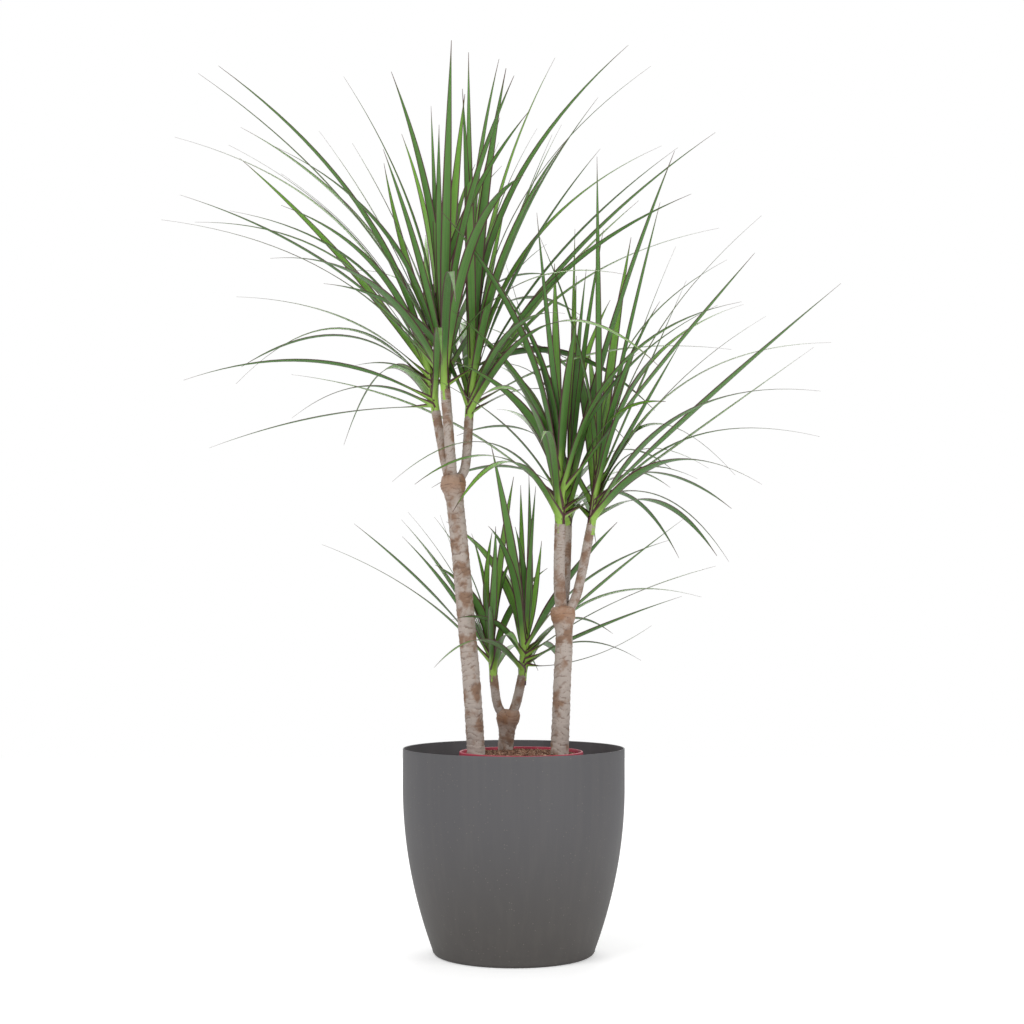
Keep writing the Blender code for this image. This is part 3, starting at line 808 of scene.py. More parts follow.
def weathering_group() -> bpy.types.NodeTree:
    """Build the shared effect of blotches, fine specks and upright streaks.

    Returns:
        The node group.
    """
    found = bpy.data.node_groups.get("weathering")
    if found:
        return found
    group = new_group(
        "weathering",
        [("Vector", "NodeSocketVector", (0, 0, 0)), ("Speck Scale", "NodeSocketFloat", 400.0),
         ("Speck Share", "NodeSocketFloat", 0.3), ("Streak Scale", "NodeSocketFloat", 60.0)],
        [("Blotch", "NodeSocketFloat"), ("Speck", "NodeSocketFloat"), ("Streak", "NodeSocketFloat")],
    )
    wiring = Wiring(group)
    source, sink = group.nodes[0], group.nodes[1]
    where = source.outputs["Vector"]
    blotch = wiring.noise(where, 9.0)
    cells = wiring.add("TexVoronoi", {"Vector": where, "Scale": source.outputs["Speck Scale"]})
    chosen = wiring.add("SeparateColor", {0: cells.outputs["Color"]}).outputs[0]
    small = wiring.add("MapRange", {0: cells.outputs["Distance"], 1: 0.28, 2: 0.12}).outputs[0]
    few = wiring.maths("LESS_THAN", chosen, source.outputs["Speck Share"])
    speck = wiring.maths("MULTIPLY", small, few)
    drawn = wiring.add("VectorMath", {0: where, 1: (1, 1, 0.03)}, operation="MULTIPLY").outputs[0]
    streak = wiring.add("TexNoise", {"Vector": drawn, "Scale": source.outputs["Streak Scale"], "Detail": 3.0})
    for name, value in (("Blotch", blotch), ("Speck", speck), ("Streak", streak.outputs["Fac"])):
        group.links.new(value, sink.inputs[name])
    return group


@dataclass(frozen=True)
class Finish:
    """A procedural finish on a Principled shader.

    Attributes:
        name: The material's name.
        roughness: Its middle roughness.
    """

    name: str
    roughness: float = 0.5

    def start(self) -> tuple[bpy.types.Material, Wiring, bpy.types.Node]:
        """Make the empty material.

        Returns:
            The material, its wiring and its Principled shader.
        """
        made = bpy.data.materials.new(self.name)
        made.use_nodes = True
        return made, Wiring(made.node_tree), made.node_tree.nodes["Principled BSDF"]

    def finish_bump(self, wiring: Wiring, shader: bpy.types.Node, height: object, distance: float) -> None:
        """Feed a height into the shader's normal.

        Args:
            wiring: The material's wiring.
            shader: Its Principled shader.
            height: The height socket.
            distance: How far the height reaches, in metres.
        """
        bump = wiring.add("Bump", {"Height": height, "Distance": distance, "Strength": 0.6})
        wiring.tree.links.new(bump.outputs[0], shader.inputs["Normal"])


@dataclass(frozen=True)
class MouldedPlastic(Finish):
    """Moulded plastic with faint streaks, fine specks and painted shade towards the bottom.

    Attributes:
        colour: Main colour.
        bottom_shade: Colour of the painted shade that the wall darkens to towards its bottom.
        speck: Colour of the specks.
        speck_share: How many specks there are.
    """

    colour: tuple = (0.100, 0.098, 0.104, 1)
    bottom_shade: tuple = (0.086, 0.079, 0.074, 1)
    speck: tuple = (0.26, 0.23, 0.20, 1)
    speck_share: float = 0.10

    def make(self) -> bpy.types.Material:
        """Build the material.

        Returns:
            The material.
        """
        made, wiring, shader = self.start()
        where = wiring.add("TexCoord").outputs["Object"]
        marks = wiring.add("Group", node_tree=weathering_group())
        wiring.tree.links.new(where, marks.inputs["Vector"])
        marks.inputs["Speck Scale"].default_value = 330.0
        marks.inputs["Speck Share"].default_value = self.speck_share
        marks.inputs["Streak Scale"].default_value = 90.0
        # Painted shade: the wall darkens towards its bottom over its lowest 22 cm.
        low = wiring.ramp(wiring.add("SeparateXYZ", {0: where}).outputs[2], 0.22, 0.0)
        base = wiring.mix(low, self.colour, self.bottom_shade)
        streak = wiring.ramp(marks.outputs["Streak"], 0.40, 0.75)
        streaked = wiring.mix(wiring.maths("MULTIPLY", streak, 0.05), base, self.speck)
        colour = wiring.mix(wiring.maths("MULTIPLY", marks.outputs["Speck"], 0.5), streaked, self.speck)
        wiring.tree.links.new(colour, shader.inputs["Base Color"])
        span = {3: self.roughness - 0.06, 4: self.roughness + 0.08}
        rough = wiring.add("MapRange", {0: marks.outputs["Blotch"], **span})
        wiring.tree.links.new(rough.outputs[0], shader.inputs["Roughness"])
        self.finish_bump(wiring, shader, wiring.noise(where, 900.0, 2), 0.0002)
        return made


@dataclass(frozen=True)
class MixFinish(Finish):
    """Crumbs of bark and peat, each with its own tone."""

    def make(self) -> bpy.types.Material:
        """Build the material.

        Returns:
            The material.
        """
        made, wiring, shader = self.start()
        where = wiring.add("TexCoord").outputs["Object"]
        tone = wiring.add("Attribute", attribute_name="tone").outputs["Fac"]
        dark = wiring.mix(wiring.ramp(tone, 0.0, 0.5), (0.085, 0.04, 0.026, 1), (0.27, 0.135, 0.085, 1))
        colour = wiring.mix(wiring.ramp(tone, 0.55, 1.0), dark, (0.56, 0.36, 0.25, 1))
        grain = wiring.ramp(wiring.noise(where, 700.0), 0.35, 0.7)
        shaded = wiring.mix(wiring.maths("MULTIPLY", grain, 0.35), colour, (0.12, 0.06, 0.04, 1))
        wiring.tree.links.new(shaded, shader.inputs["Base Color"])
        shader.inputs["Roughness"].default_value = self.roughness
        self.finish_bump(wiring, shader, wiring.noise(where, 1200.0), 0.0006)
        return made


@dataclass(frozen=True)
class BarkFinish(Finish):
    """Grey-tan bark with brown patches, dark flecks and paler ridges."""

    def make(self) -> bpy.types.Material:
        """Build the material.

        Returns:
            The material.
        """
        made, wiring, shader = self.start()
        where = wiring.add("TexCoord").outputs["Object"]
        marks = wiring.add("Group", node_tree=weathering_group())
        wiring.tree.links.new(where, marks.inputs["Vector"])
        marks.inputs["Speck Scale"].default_value = 420.0
        marks.inputs["Speck Share"].default_value = 0.30
        marks.inputs["Streak Scale"].default_value = 160.0
        ridge = wiring.add("Attribute", attribute_name="ridge").outputs["Fac"]
        broken = wiring.ramp(wiring.noise(where, 120.0, 5), 0.38, 0.62)
        warm = wiring.add("Attribute", attribute_name="warm").outputs["Fac"]
        patch = wiring.ramp(wiring.noise(where, 55.0), 0.42, 0.62)
        base = wiring.mix(patch, (0.47, 0.40, 0.355, 1), (0.27, 0.165, 0.11, 1))
        tan = wiring.mix(wiring.maths("MULTIPLY", warm, 0.7), base, (0.38, 0.20, 0.11, 1))
        dark = wiring.maths("MULTIPLY", wiring.ramp(ridge, 0.16, 0.0), broken)
        groove = wiring.mix(wiring.maths("MULTIPLY", dark, 0.7), tan, (0.15, 0.09, 0.065, 1))
        light = wiring.maths("MULTIPLY", wiring.ramp(ridge, 0.60, 1.0), broken)
        pale = wiring.mix(wiring.maths("MULTIPLY", light, 0.6), groove, (0.56, 0.50, 0.455, 1))
        few = wiring.maths("MULTIPLY", marks.outputs["Speck"], 0.7)
        fleck = wiring.mix(few, pale, (0.10, 0.06, 0.045, 1))
        wiring.tree.links.new(fleck, shader.inputs["Base Color"])
        shader.inputs["Roughness"].default_value = self.roughness
        height = wiring.maths("ADD", wiring.noise(where, 300.0, 6), marks.outputs["Streak"])
        self.finish_bump(wiring, shader, height, 0.0012)
        return made


@dataclass(frozen=True)
class LeafFinish(Finish):
    """Green blade with purple-red margins, a lime base, fine veins and a dry tip."""

    def make(self) -> bpy.types.Material:
        """Build the material.

        Returns:
            The material.
        """
        made, wiring, shader = self.start()
        place = wiring.add("Attribute", attribute_name="blade").outputs["Vector"]
        parts = wiring.add("SeparateXYZ", {0: place})
        across, along, tone = parts.outputs
        edge_out = wiring.maths("ABSOLUTE", across)
        vein_at = wiring.add("CombineXYZ", {0: wiring.maths("MULTIPLY", across, 16.0), 1: along, 2: tone})
        vein = wiring.noise(vein_at.outputs[0], 1.6, 3)
        green = wiring.mix(tone, (0.042, 0.175, 0.008, 1), (0.190, 0.44, 0.016, 1))
        veined = wiring.mix(wiring.ramp(vein, 0.40, 0.66), green, (0.20, 0.42, 0.05, 1))
        veined = wiring.mix(wiring.ramp(vein, 0.48, 0.30), veined, (0.030, 0.105, 0.020, 1))
        under = wiring.add("Attribute", attribute_name="under").outputs["Fac"]
        cool = wiring.mix(wiring.maths("MULTIPLY", under, 0.55), veined, (0.065, 0.17, 0.060, 1))
        lime = wiring.mix(wiring.ramp(along, 0.16, 0.0), cool, (0.33, 0.56, 0.085, 1))
        margin = wiring.mix(wiring.ramp(edge_out, 0.60, 0.84), lime, (0.095, 0.026, 0.034, 1))
        dry = wiring.mix(wiring.ramp(along, 0.90, 0.985), margin, (0.12, 0.06, 0.045, 1))
        wiring.tree.links.new(dry, shader.inputs["Base Color"])
        shader.inputs["Roughness"].default_value = self.roughness
        shader.inputs["Coat Weight"].default_value = 0.12
        shader.inputs["Coat Roughness"].default_value = 0.35
        self.finish_bump(wiring, shader, vein, 0.0005)
        return made


def piece_from(name: str, points: list, faces: list, finish: bpy.types.Material) -> bpy.types.Object:
    """Make a smooth piece of the plant.

    Args:
        name: The piece's name.
        points: Its points.
        faces: Its faces.
        finish: Its material.

    Returns:
        The object, riding on the body.
    """
    mesh = bpy.data.meshes.new(name)
    mesh.from_pydata([tuple(p) for p in points], [], faces)
    mesh.update()
    mesh.materials.append(finish)
    mesh.shade_smooth()
    mesh.set_sharp_from_angle(angle=math.radians(50))
    piece = bpy.data.objects.new(name, mesh)
    bpy.context.scene.collection.objects.link(piece)
    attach(piece, BODY)
    LOG.info("%s: %d faces", name, len(faces))
    return piece


def store(piece: bpy.types.Object, name: str, kind: str, values: list) -> None:
    """Store one value for each point of a piece.

    Args:
        piece: The object.
        name: The attribute's name.
        kind: FLOAT or FLOAT_VECTOR.
        values: The values, flat for vectors.
    """
    attribute = piece.data.attributes.new(name, kind, "POINT")
    attribute.data.foreach_set("vector" if kind == "FLOAT_VECTOR" else "value", values)


def turned_faces(rings: int, sides: int) -> list[tuple[int, ...]]:
    """List the faces between rings of equal size.

    Args:
        rings: How many rings there are.
        sides: How many points each has.

    Returns:
        The faces by point number.
    """
    return [
        (r * sides + i, r * sides + (i + 1) % sides, (r + 1) * sides + (i + 1) % sides, (r + 1) * sides + i)
        for r in range(rings - 1)
        for i in range(sides)
    ]


def arc(centre: tuple[float, float], radius: float, start: float, end: float, steps: int) -> list[tuple]:
    """List points on an arc of a profile, angles in degrees."""
    turns = [math.radians(start + (end - start) * k / steps) for k in range(steps + 1)]
    return [(centre[0] + radius * math.cos(a), centre[1] + radius * math.sin(a)) for a in turns]


LATHE_SIDES = 144


def lathe(name: str, profile: list, centre: tuple, finish: bpy.types.Material) -> bpy.types.Object:
    """Turn an open profile that ends near the axis at both ends, and close it.

    Args:
        name: The piece's name.
        profile: Radius and height of each point.
        centre: The axis.
        finish: Its material.

    Returns:
        The piece.
    """
    sides = LATHE_SIDES
    turns = [2 * math.pi * k / sides for k in range(sides)]
    points = [
        (centre[0] + r * math.cos(a), centre[1] + r * math.sin(a), z) for r, z in profile for a in turns
    ]
    faces = turned_faces(len(profile), sides)
    last = (len(profile) - 1) * sides
    faces.append(tuple(reversed(range(sides))))
    faces.append(tuple(range(last, last + sides)))
    return piece_from(name, points, faces, finish)


@dataclass
class CoverPot:
    """The outer pot: a thin lip, an upright wall that curves in, and a flat underside.

    Attributes:
        centre: Its axis.
        hub: Radius of the small ring that closes its floor.
        levels: Steps up its wall.
    """

    centre: tuple[float, float] = (0.0, 0.0)
    hub: float = 0.002
    levels: int = 40

    def build(self) -> bpy.types.Object:
        """Build the pot.

        Returns:
            The pot.
        """
        foot = outer_radius(POT_BASE_ROUND)
        corner = (foot - POT_BASE_ROUND, POT_BASE_ROUND)
        lip = POT_LIP / 2
        rim = (POT_RIM_RADIUS - lip, POT_HEIGHT - lip)
        rise = POT_HEIGHT - lip - POT_BASE_ROUND
        levels = [POT_BASE_ROUND + rise * k / self.levels for k in range(self.levels + 1)]
        profile = [(self.hub, 0.0), (corner[0] - 0.02, 0.0)]
        profile += arc(corner, POT_BASE_ROUND, -90, 0, 8)
        profile += [(outer_radius(z), z) for z in levels[1:-1]]
        profile += arc(rim, lip, 0, 180, 8)
        inner = [(outer_radius(z) - POT_WALL, z) for z in reversed(levels[1:-2])]
        profile += [(POT_RIM_RADIUS - POT_LIP, POT_HEIGHT - 10 * MM)] + inner
        profile += [(outer_radius(POT_FLOOR) - POT_WALL - 6 * MM, POT_FLOOR), (self.hub, POT_FLOOR)]
        pot = lathe("cover_pot_finished", profile, self.centre, MouldedPlastic("anthracite", 0.52).make())
        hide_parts("cover_pot")
        return pot


@dataclass
class GrowPot:
    """The nursery pot inside, with a rolled lip.

    Attributes:
        hub: Radius of the small ring that closes its floor.
        roll: Radius of its rolled lip.
        floor: Thickness of its floor.
    """

    hub: float = 0.002
    roll: float = 1.6 * MM
    floor: float = 2 * MM

    def build(self) -> bpy.types.Object:
        """Build the pot.

        Returns:
            The pot.
        """
        base = POT_FLOOR + GAP
        under = GROW_RIM_Z - GROW_LIP_HEIGHT
        lip = (GROW_RIM_RADIUS - self.roll, GROW_RIM_Z - self.roll)
        profile = [(self.hub, base), (grow_radius(base) - 3 * MM, base)]
        profile += [(grow_radius(z), z) for z in (base + 3 * MM, 0.05, 0.10, 0.15, 0.20, 0.25, under)]
        profile += [(GROW_RIM_RADIUS, under)] + arc(lip, self.roll, 0, 170, 8)
        profile += [(GROW_RIM_RADIUS - 2 * self.roll - 0.2 * MM, under)]
        downwards = (0.25, 0.20, 0.15, 0.10, 0.05, base + self.floor)
        profile += [(grow_radius(z) - GROW_WALL, z) for z in downwards]
        profile += [(self.hub, base + self.floor)]
        # The second colour is painted shade that the wall darkens to towards its bottom.
        red = MouldedPlastic(
            "nursery_red", 0.42, (0.46, 0.030, 0.070, 1), (0.40, 0.03, 0.06, 1), (0.68, 0.16, 0.22, 1), 0.06
        )
        pot = lathe("grow_pot_finished", profile, GROW_CENTRE, red.make())
        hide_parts("grow_pot")
        return pot


@dataclass
class PottingMix:
    """The mix: an uneven mound covered with loose crumbs.

    Attributes:
        rings: Rings of the mound's surface.
        sides: Sides of each ring.
        crumbs: How many loose crumbs lie on it.
        seed: Seed of the crumbs.
    """

    rings: int = 26
    sides: int = 96
    crumbs: int = 5200
    seed: int = 5

    def height(self, x: float, y: float) -> float:
        """Height of the surface at a place.

        Args:
            x: The place to the side.
            y: The place to the back.

        Returns:
            The height above the ground.
        """
        dx, dy = x - GROW_CENTRE[0], y - GROW_CENTRE[1]
        share = 1 - min(math.hypot(dx, dy) / self.edge(), 1)
        bump = noise.noise(Vector((x, y, 0)) * 38) * 1.4 + noise.noise(Vector((x, y, 1)) * 130) * 0.7
        return SOIL_EDGE_Z + SOIL_MOUND * math.sin(share * math.pi / 2) * 0.8 + bump * MM

    def edge(self) -> float:
        """Radius of the surface, inside the grow pot's wall."""
        return grow_radius(SOIL_EDGE_Z) - GROW_WALL - GAP

    def build(self) -> list[bpy.types.Object]:
        """Build the mound and its crumbs.

        Returns:
            Both pieces.
        """
        finish = MixFinish("mix", 0.95).make()
        points = []
        base = POT_FLOOR + 2 * GAP + 2 * MM
        radii = [(0.002, base), (grow_radius(base) - GROW_WALL - GAP, base)]
        radii += [(self.edge() - 1 * MM, SOIL_EDGE_Z - 8 * MM)]
        radii += [(max(self.edge() * (1 - k / self.rings), 0.0015), None) for k in range(self.rings + 1)]
        for radius, z in radii:
            for k in range(self.sides):
                a = 2 * math.pi * k / self.sides
                x = GROW_CENTRE[0] + radius * math.cos(a)
                y = GROW_CENTRE[1] + radius * math.sin(a)
                points.append((x, y, self.height(x, y) if z is None else z))
        faces = turned_faces(len(radii), self.sides)
        last = (len(radii) - 1) * self.sides
        faces.append(tuple(reversed(range(self.sides))))
        faces.append(tuple(range(last, last + self.sides)))
        mound = piece_from("potting_mix_mound", points, faces, finish)
        store(mound, "tone", "FLOAT", [0.25 + 0.2 * noise.noise(Vector(p) * 200) for p in points])
        crumbs = self.scatter(finish)
        for piece in (mound, crumbs):
            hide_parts("potting_mix")
        return [mound, crumbs]

    def scatter(self, finish: bpy.types.Material) -> bpy.types.Object:
        """Scatter crumbs of every size over the mound.

        Args:
            finish: The mix's material.

        Returns:
            All the crumbs as one piece.
        """
        rng = random.Random(self.seed)
        lump = [Vector(p) for p in ((1, 0, 0), (-1, 0, 0), (0, 1, 0), (0, -1, 0), (0, 0, 1), (0, 0, -1))]
        lump_faces = [(0, 2, 4), (2, 1, 4), (1, 3, 4), (3, 0, 4), (2, 0, 5), (1, 2, 5), (3, 1, 5), (0, 3, 5)]
        points, faces, tones = [], [], []
        for _ in range(self.crumbs):
            radius = self.edge() * math.sqrt(rng.random()) * 0.98
            a = rng.uniform(0, 2 * math.pi)
            x = GROW_CENTRE[0] + radius * math.cos(a)
            y = GROW_CENTRE[1] + radius * math.sin(a)
            size = rng.choice((0.7, 0.9, 1.1, 1.4, 1.9)) * MM
            centre = Vector((x, y, self.height(x, y) + size * 0.25))
            turn = Matrix.Rotation(rng.uniform(0, 6), 3, Vector((rng.random(), rng.random(), 1)))
            stretch = Vector((rng.uniform(0.8, 1.9), rng.uniform(0.6, 1.1), rng.uniform(0.5, 0.9)))
            first = len(points)
            points += [centre + turn @ (p * stretch * size * rng.uniform(0.8, 1.2)) for p in lump]
            faces += [tuple(first + i for i in f) for f in lump_faces]
            tones += [rng.random()] * len(lump)
        piece = piece_from("potting_mix_crumbs", points, faces, finish)
        store(piece, "tone", "FLOAT", tones)
        return piece


@dataclass
class Canes:
    """The canes with their knobs and shoots, ringed by leaf scars.

    Attributes:
        cane_sides: Sides of a cane's rings.
        shoot_sides: Sides of a shoot's rings.
        step: Distance between rings.
        cane_pitch: Distance between the leaf scars of a cane.
        shoot_pitch: Distance between the leaf scars of a shoot.
        scar_depth: Height of a scar's ridge as a share of the radius.
        scar_level: The part of a ridge that lies below the radius.
        scar_drop: Where along its pitch a ridge ends.
        lumpiness: Unevenness of the bark as a share of the radius.
        knob_spread: How far a knob reaches, as a share of its radius.
        knob_lumpiness: Unevenness of a knob.
        finish: The bark, made by build.
    """

    cane_sides: int = 40
    shoot_sides: int = 28
    step: float = 1.6 * MM
    cane_pitch: float = 8 * MM
    shoot_pitch: float = 4.2 * MM
    scar_depth: float = 0.060
    scar_level: float = 0.35
    scar_drop: float = 0.93
    lumpiness: float = 0.065
    knob_spread: float = 0.85
    knob_lumpiness: float = 0.22
    finish: bpy.types.Material | None = None

    def build(self) -> list[bpy.types.Object]:
        """Build every cane and its shoots.

        Returns:
            The pieces.
        """
        self.finish = BarkFinish("cane_bark", 0.86).make()
        made = []
        for name, cane in CANES.items():
            points, radii = cane_line(cane)
            points.append(points[-1] + (points[-1] - points[-2]).normalized() * cane["knob"] * 0.55)
            radii.append(radii[-1] * 0.6)
            swell = (points[-2], cane["knob"])
            stem = self.bar(f"{name}_wood", points, radii, self.cane_sides, self.cane_pitch, swell)
            made.append((stem, name))
            for label, shoot in SHOOTS.items():
                if shoot["cane"] == name:
                    line, widths = shoot_line(shoot)
                    branch = self.bar(f"{label}_stem", line, widths, self.shoot_sides, self.shoot_pitch, None)
                    made.append((branch, name))
        for piece, node in made:
            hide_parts(node)
        return [piece for piece, _ in made]

    def line_at(self, points: list[Vector], radii: list[float], at: float) -> tuple[Vector, float]:
        """Read a rounded line and its radius at a distance from its start.

        Args:
            points: The line.
            radii: The radius at each point.
            at: The distance.

        Returns:
            The point and the radius there.
        """
        for i in range(len(points) - 1):
            length = (points[i + 1] - points[i]).length
            if at <= length or i == len(points) - 2:
                t = min(at / length, 1)
                before = points[max(i - 1, 0)]
                after = points[min(i + 2, len(points) - 1)]
                m0 = (points[i + 1] - before) / 2
                m1 = (after - points[i]) / 2
                h = 2 * t**3 - 3 * t**2 + 1
                p = points[i] * h + m0 * (t**3 - 2 * t**2 + t) + points[i + 1] * (1 - h) + m1 * (t**3 - t**2)
                return p, radii[i] + (radii[i + 1] - radii[i]) * t
            at -= length
        return points[-1], radii[-1]

    def bar(
        self, name: str, points: list, radii: list, sides: int, pitch: float, swell: tuple | None
    ) -> bpy.types.Object:
        """Build one stem with slanted leaf scars.

        Args:
            name: The piece's name.
            points: Its centre line.
            radii: Its radius at each point.
            sides: How many sides its rings have.
            pitch: Distance between leaf scars.
            swell: Centre and radius of its knob, or None.

        Returns:
            The piece.
        """
        total = sum((b - a).length for a, b in zip(points, points[1:]))
        count = int(total / self.step)
        line = [self.line_at(points, radii, total * k / count) for k in range(count + 1)]
        verts, ridges, warms = [], [], []
        for k, (centre, radius) in enumerate(line):
            ahead = line[min(k + 1, count)][0] - line[max(k - 1, 0)][0]
            along = ahead.normalized()
            across = along.cross(Vector((0, 1, 0))).normalized()
            other = along.cross(across)
            at = total * k / count
            for s in range(sides):
                a = 2 * math.pi * s / sides
                out = across * math.cos(a) + other * math.sin(a)
                wander = noise.noise(Vector((math.cos(a), math.sin(a), at * 60)))
                phase = (at / pitch + 0.30 * math.sin(a + at * 40) + 0.9 * wander) % 1.0
                ridge = phase**2.2 if phase < self.scar_drop else (1 - phase) / 0.07
                rough = noise.noise(centre * 260 + out * 2.2) * 0.5 + noise.noise(centre * 90 + out) * 0.6
                size = radius * (1 + self.scar_depth * (ridge - self.scar_level) + self.lumpiness * rough)
                warm = 0.0
                if swell:
                    reach = swell[1] * self.knob_spread
                    near = math.exp(-(((centre - swell[0]).length / reach) ** 2))
                    lump = 1 + self.knob_lumpiness * noise.noise(centre * 70 + out * 1.7)
                    size += (swell[1] - radius) * near * lump
                    warm = near
                verts.append(centre + out * size)
                ridges.append(ridge)
                warms.append(warm)
        faces = turned_faces(count + 1, sides)
        faces.append(tuple(reversed(range(sides))))
        faces.append(tuple(range(count * sides, (count + 1) * sides)))
        piece = piece_from(name, verts, faces, self.finish)
        store(piece, "ridge", "FLOAT", ridges)
        store(piece, "warm", "FLOAT", warms)
        return piece


@dataclass
class Foliage:
    """All the leaves, joined by whorl.

    Attributes:
        steps: Steps along a free blade.
        half: Steps from a blade's middle to its margin.
        sheath: Length of the base that clasps the stem.
        sheath_steps: Steps along that base.
        sheath_curl: How much the base curls round the stem.
        hold: How far up a blade the base's width and curl last, as a share of it.
        free_at: Where a blade begins to twist fully.
        sway: Greatest twist of a blade's wave, in radians.
        thickness: Thickness of a blade.
        channel: How much a blade is channelled.
        seed: Seed of the small differences between leaves.
    """

    steps: int = 22
    half: int = 4
    sheath: float = 0.020
    sheath_steps: int = 5
    sheath_curl: float = 0.9
    hold: float = 0.07
    free_at: float = 0.3
    sway: float = 0.12
    thickness: float = 0.55 * MM
    channel: float = 0.16
    seed: int = 3

    def build(self) -> list[bpy.types.Object]:
        """Build the leaves of every whorl.

        Returns:
            One piece for each whorl.
        """
        finish = LeafFinish("leaf_green", 0.42).make()
        rng = random.Random(self.seed)
        made = []
        for (label, whorl), blades in sorted(place_leaves().items()):
            node = f"leaves_{label}_{WHORLS[whorl]}"
            points, faces, place, under = [], [], [], []
            for blade in blades:
                self.add_leaf(blade, label, whorl, rng, points, faces, place, under)
            piece = piece_from(f"{node}_blades", points, faces, finish)
            store(piece, "blade", "FLOAT_VECTOR", place)
            store(piece, "under", "FLOAT", under)
            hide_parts(node)
            made.append(piece)
        return made

    def add_leaf(
        self, blade: Blade, label: str, whorl: int, rng: random.Random,
        points: list, faces: list, place: list, under: list,
    ) -> None:
        """Add one leaf's closed mesh.

        Args:
            blade: The leaf.
            label: Its shoot.
            whorl: Its whorl.
            rng: Source of its small differences.
            points: Points so far, extended here.
            faces: Faces so far, extended here.
            place: Flat across, along and tone values, extended here.
            under: Whether each point is on the lower face, extended here.
        """
        tone = min(max(rng.gauss(0.42 + 0.16 * whorl, 0.2), 0), 1)
        roll = math.radians(rng.gauss(0, 16))
        wave = rng.uniform(0, 6.3)
        base, _, _, _ = blade.frame_at(0.0)
        low, high = Vector(SHOOTS[label]["bare"][-1]), Vector(SHOOTS[label]["leafy"])
        stem = (high - low).normalized()
        radial = (base - low) - stem * (base - low).dot(stem)
        columns = 2 * self.half + 1
        ring = 2 * columns
        first = len(points)
        count = self.sheath_steps + self.steps
        for k in range(count + 1):
            if k < self.sheath_steps:
                back = 1 - k / self.sheath_steps
                point = base - stem * self.sheath * back
                along = stem
                across = (blade.corners[1] - blade.corners[0]).normalized()
                across = (across - along * across.dot(along)).normalized()
                normal = along.cross(across)
                width = radial.length * 2.0
                curl = self.sheath_curl
                t = 0.0
            else:
                t = (k - self.sheath_steps) / self.steps
                point, along, across, normal = blade.frame_at(t)
                hold = math.exp(-((t / self.hold) ** 2))
                free = min(t / self.free_at, 1)
                twist = roll * free + self.sway * math.sin(wave + 5 * t) * free
                turn = Matrix.Rotation(twist, 3, along)
                across, normal = turn @ across, turn @ normal
                width = blade_width(t, blade.width) * (1 - hold) + radial.length * 2.0 * hold
                curl = self.sheath_curl * hold + self.channel * (1 - hold)
            for face in (1, -1):
                order = range(-self.half * face, (self.half + 1) * face, face)
                for i in order:
                    s = i / self.half
                    thick = self.thickness * (1.15 - 0.75 * abs(s)) * (1 - 0.5 * t) / 2
                    lift = curl * width / 2 * s * s
                    points.append(point + across * s * width / 2 + normal * (lift + face * thick))
                    place += [s, t, tone]
                    under.append(0.0 if face > 0 else 1.0)
        for k in range(count):
            for i in range(ring):
                j = (i + 1) % ring
                a, b = first + k * ring, first + (k + 1) * ring
                faces.append((a + i, a + j, b + j, b + i))
        faces.append(tuple(reversed(range(first, first + ring))))
        faces.append(tuple(range(first + count * ring, first + (count + 1) * ring)))


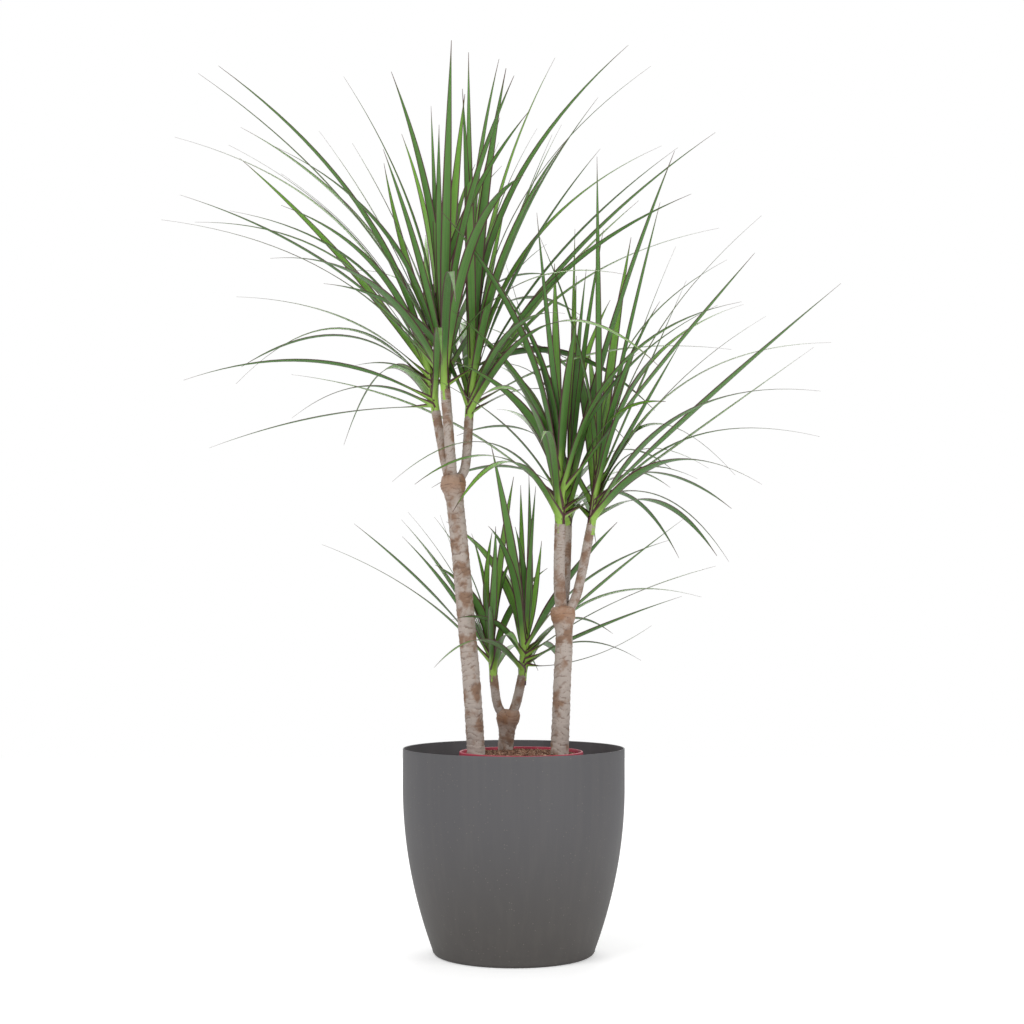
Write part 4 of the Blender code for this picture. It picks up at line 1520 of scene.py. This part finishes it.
@dataclass
class Studio:
    """Pale floor, soft lamps and the camera.

    Attributes:
        distance: From the plant's axis to the camera.
        eye: Height of the camera.
        lens: Focal length, in millimetres.
        tilt: How far the camera looks up, in degrees.
        offset: The camera's place to the side of the axis.
        floor_reach: Half the floor's width.
        aim: Height that the lamps face.
    """

    distance: float = 2.45
    eye: float = 0.4605
    lens: float = 63.2
    tilt: float = 3.14
    offset: float = -0.0024
    floor_reach: float = 3.2
    aim: float = 0.55

    def build(self) -> None:
        """Build the floor, the light and the camera."""
        scene = bpy.context.scene
        scene.view_settings.view_transform = "Standard"
        camera = bpy.data.objects.new("camera", bpy.data.cameras.new("camera"))
        camera.data.lens = self.lens
        camera.data.sensor_width = 36
        camera.location = (self.offset, -self.distance, self.eye)
        camera.rotation_euler = (math.radians(90 + self.tilt), 0, 0)
        scene.collection.objects.link(camera)
        scene.camera = camera
        self.floor()
        self.world(scene)
        self.lamp("key", (-2.0, -2.6, 3.0), 2.2, 62)
        self.lamp("fill", (2.6, -2.2, 1.8), 2.2, 34)
        self.lamp("back", (0.4, 2.8, 2.6), 2.4, 40)

    def floor(self) -> None:
        """Build the floor, white to the camera apart from the object's shadow."""
        size = self.floor_reach
        mesh = bpy.data.meshes.new("floor")
        corners = [(-size, -size, 0), (size, -size, 0), (size, size, 0), (-size, size, 0)]
        mesh.from_pydata(corners, [], [(0, 1, 2, 3)])
        made = bpy.data.materials.new("floor_white")
        made.use_nodes = True
        shader = made.node_tree.nodes["Principled BSDF"]
        shader.inputs["Base Color"].default_value = (0.9, 0.9, 0.9, 1)
        shader.inputs["Roughness"].default_value = 0.9
        shader.inputs["Emission Color"].default_value = (1, 1, 1, 1)
        wiring = Wiring(made.node_tree)
        path = wiring.add("LightPath")
        glow = wiring.maths("MULTIPLY", path.outputs["Is Camera Ray"], 0.35)
        made.node_tree.links.new(glow, shader.inputs["Emission Strength"])
        mesh.materials.append(made)
        floor = bpy.data.objects.new("floor", mesh)
        bpy.context.scene.collection.objects.link(floor)

    def world(self, scene: bpy.types.Scene) -> None:
        """Build the even white surroundings.

        Args:
            scene: The scene that they light.
        """
        world = bpy.data.worlds.new("studio")
        scene.world = world
        world.use_nodes = True
        wiring = Wiring(world.node_tree)
        path = wiring.add("LightPath")
        seen = wiring.maths("MAXIMUM", path.outputs["Is Camera Ray"], path.outputs["Is Transmission Ray"])
        strength = wiring.add("MapRange", {0: seen, 3: 0.55, 4: 1.0})
        background = world.node_tree.nodes["Background"]
        background.inputs["Color"].default_value = (1, 1, 1, 1)
        world.node_tree.links.new(strength.outputs[0], background.inputs["Strength"])

    def lamp(self, name: str, place: tuple, size: float, power: float) -> None:
        """Add one soft lamp that faces the plant.

        Args:
            name: The lamp.
            place: Where it stands.
            size: Its width.
            power: Its power, in watts.
        """
        light = bpy.data.lights.new(name, "AREA")
        light.shape = "DISK"
        light.size = size
        light.energy = power
        lamp = bpy.data.objects.new(name, light)
        lamp.location = place
        towards = Vector((0, 0, self.aim)) - Vector(place)
        lamp.rotation_euler = towards.to_track_quat("-Z", "Y").to_euler()
        bpy.context.scene.collection.objects.link(lamp)


def main() -> None:
    """Build every piece in order."""
    logging.basicConfig(level=logging.INFO)
    Studio().build()
    for part in (CoverPot(), GrowPot(), PottingMix(), Canes(), Foliage()):
        part.build()
        LOG.info("built %s", type(part).__name__)


if __name__ == "__main__":
    main()
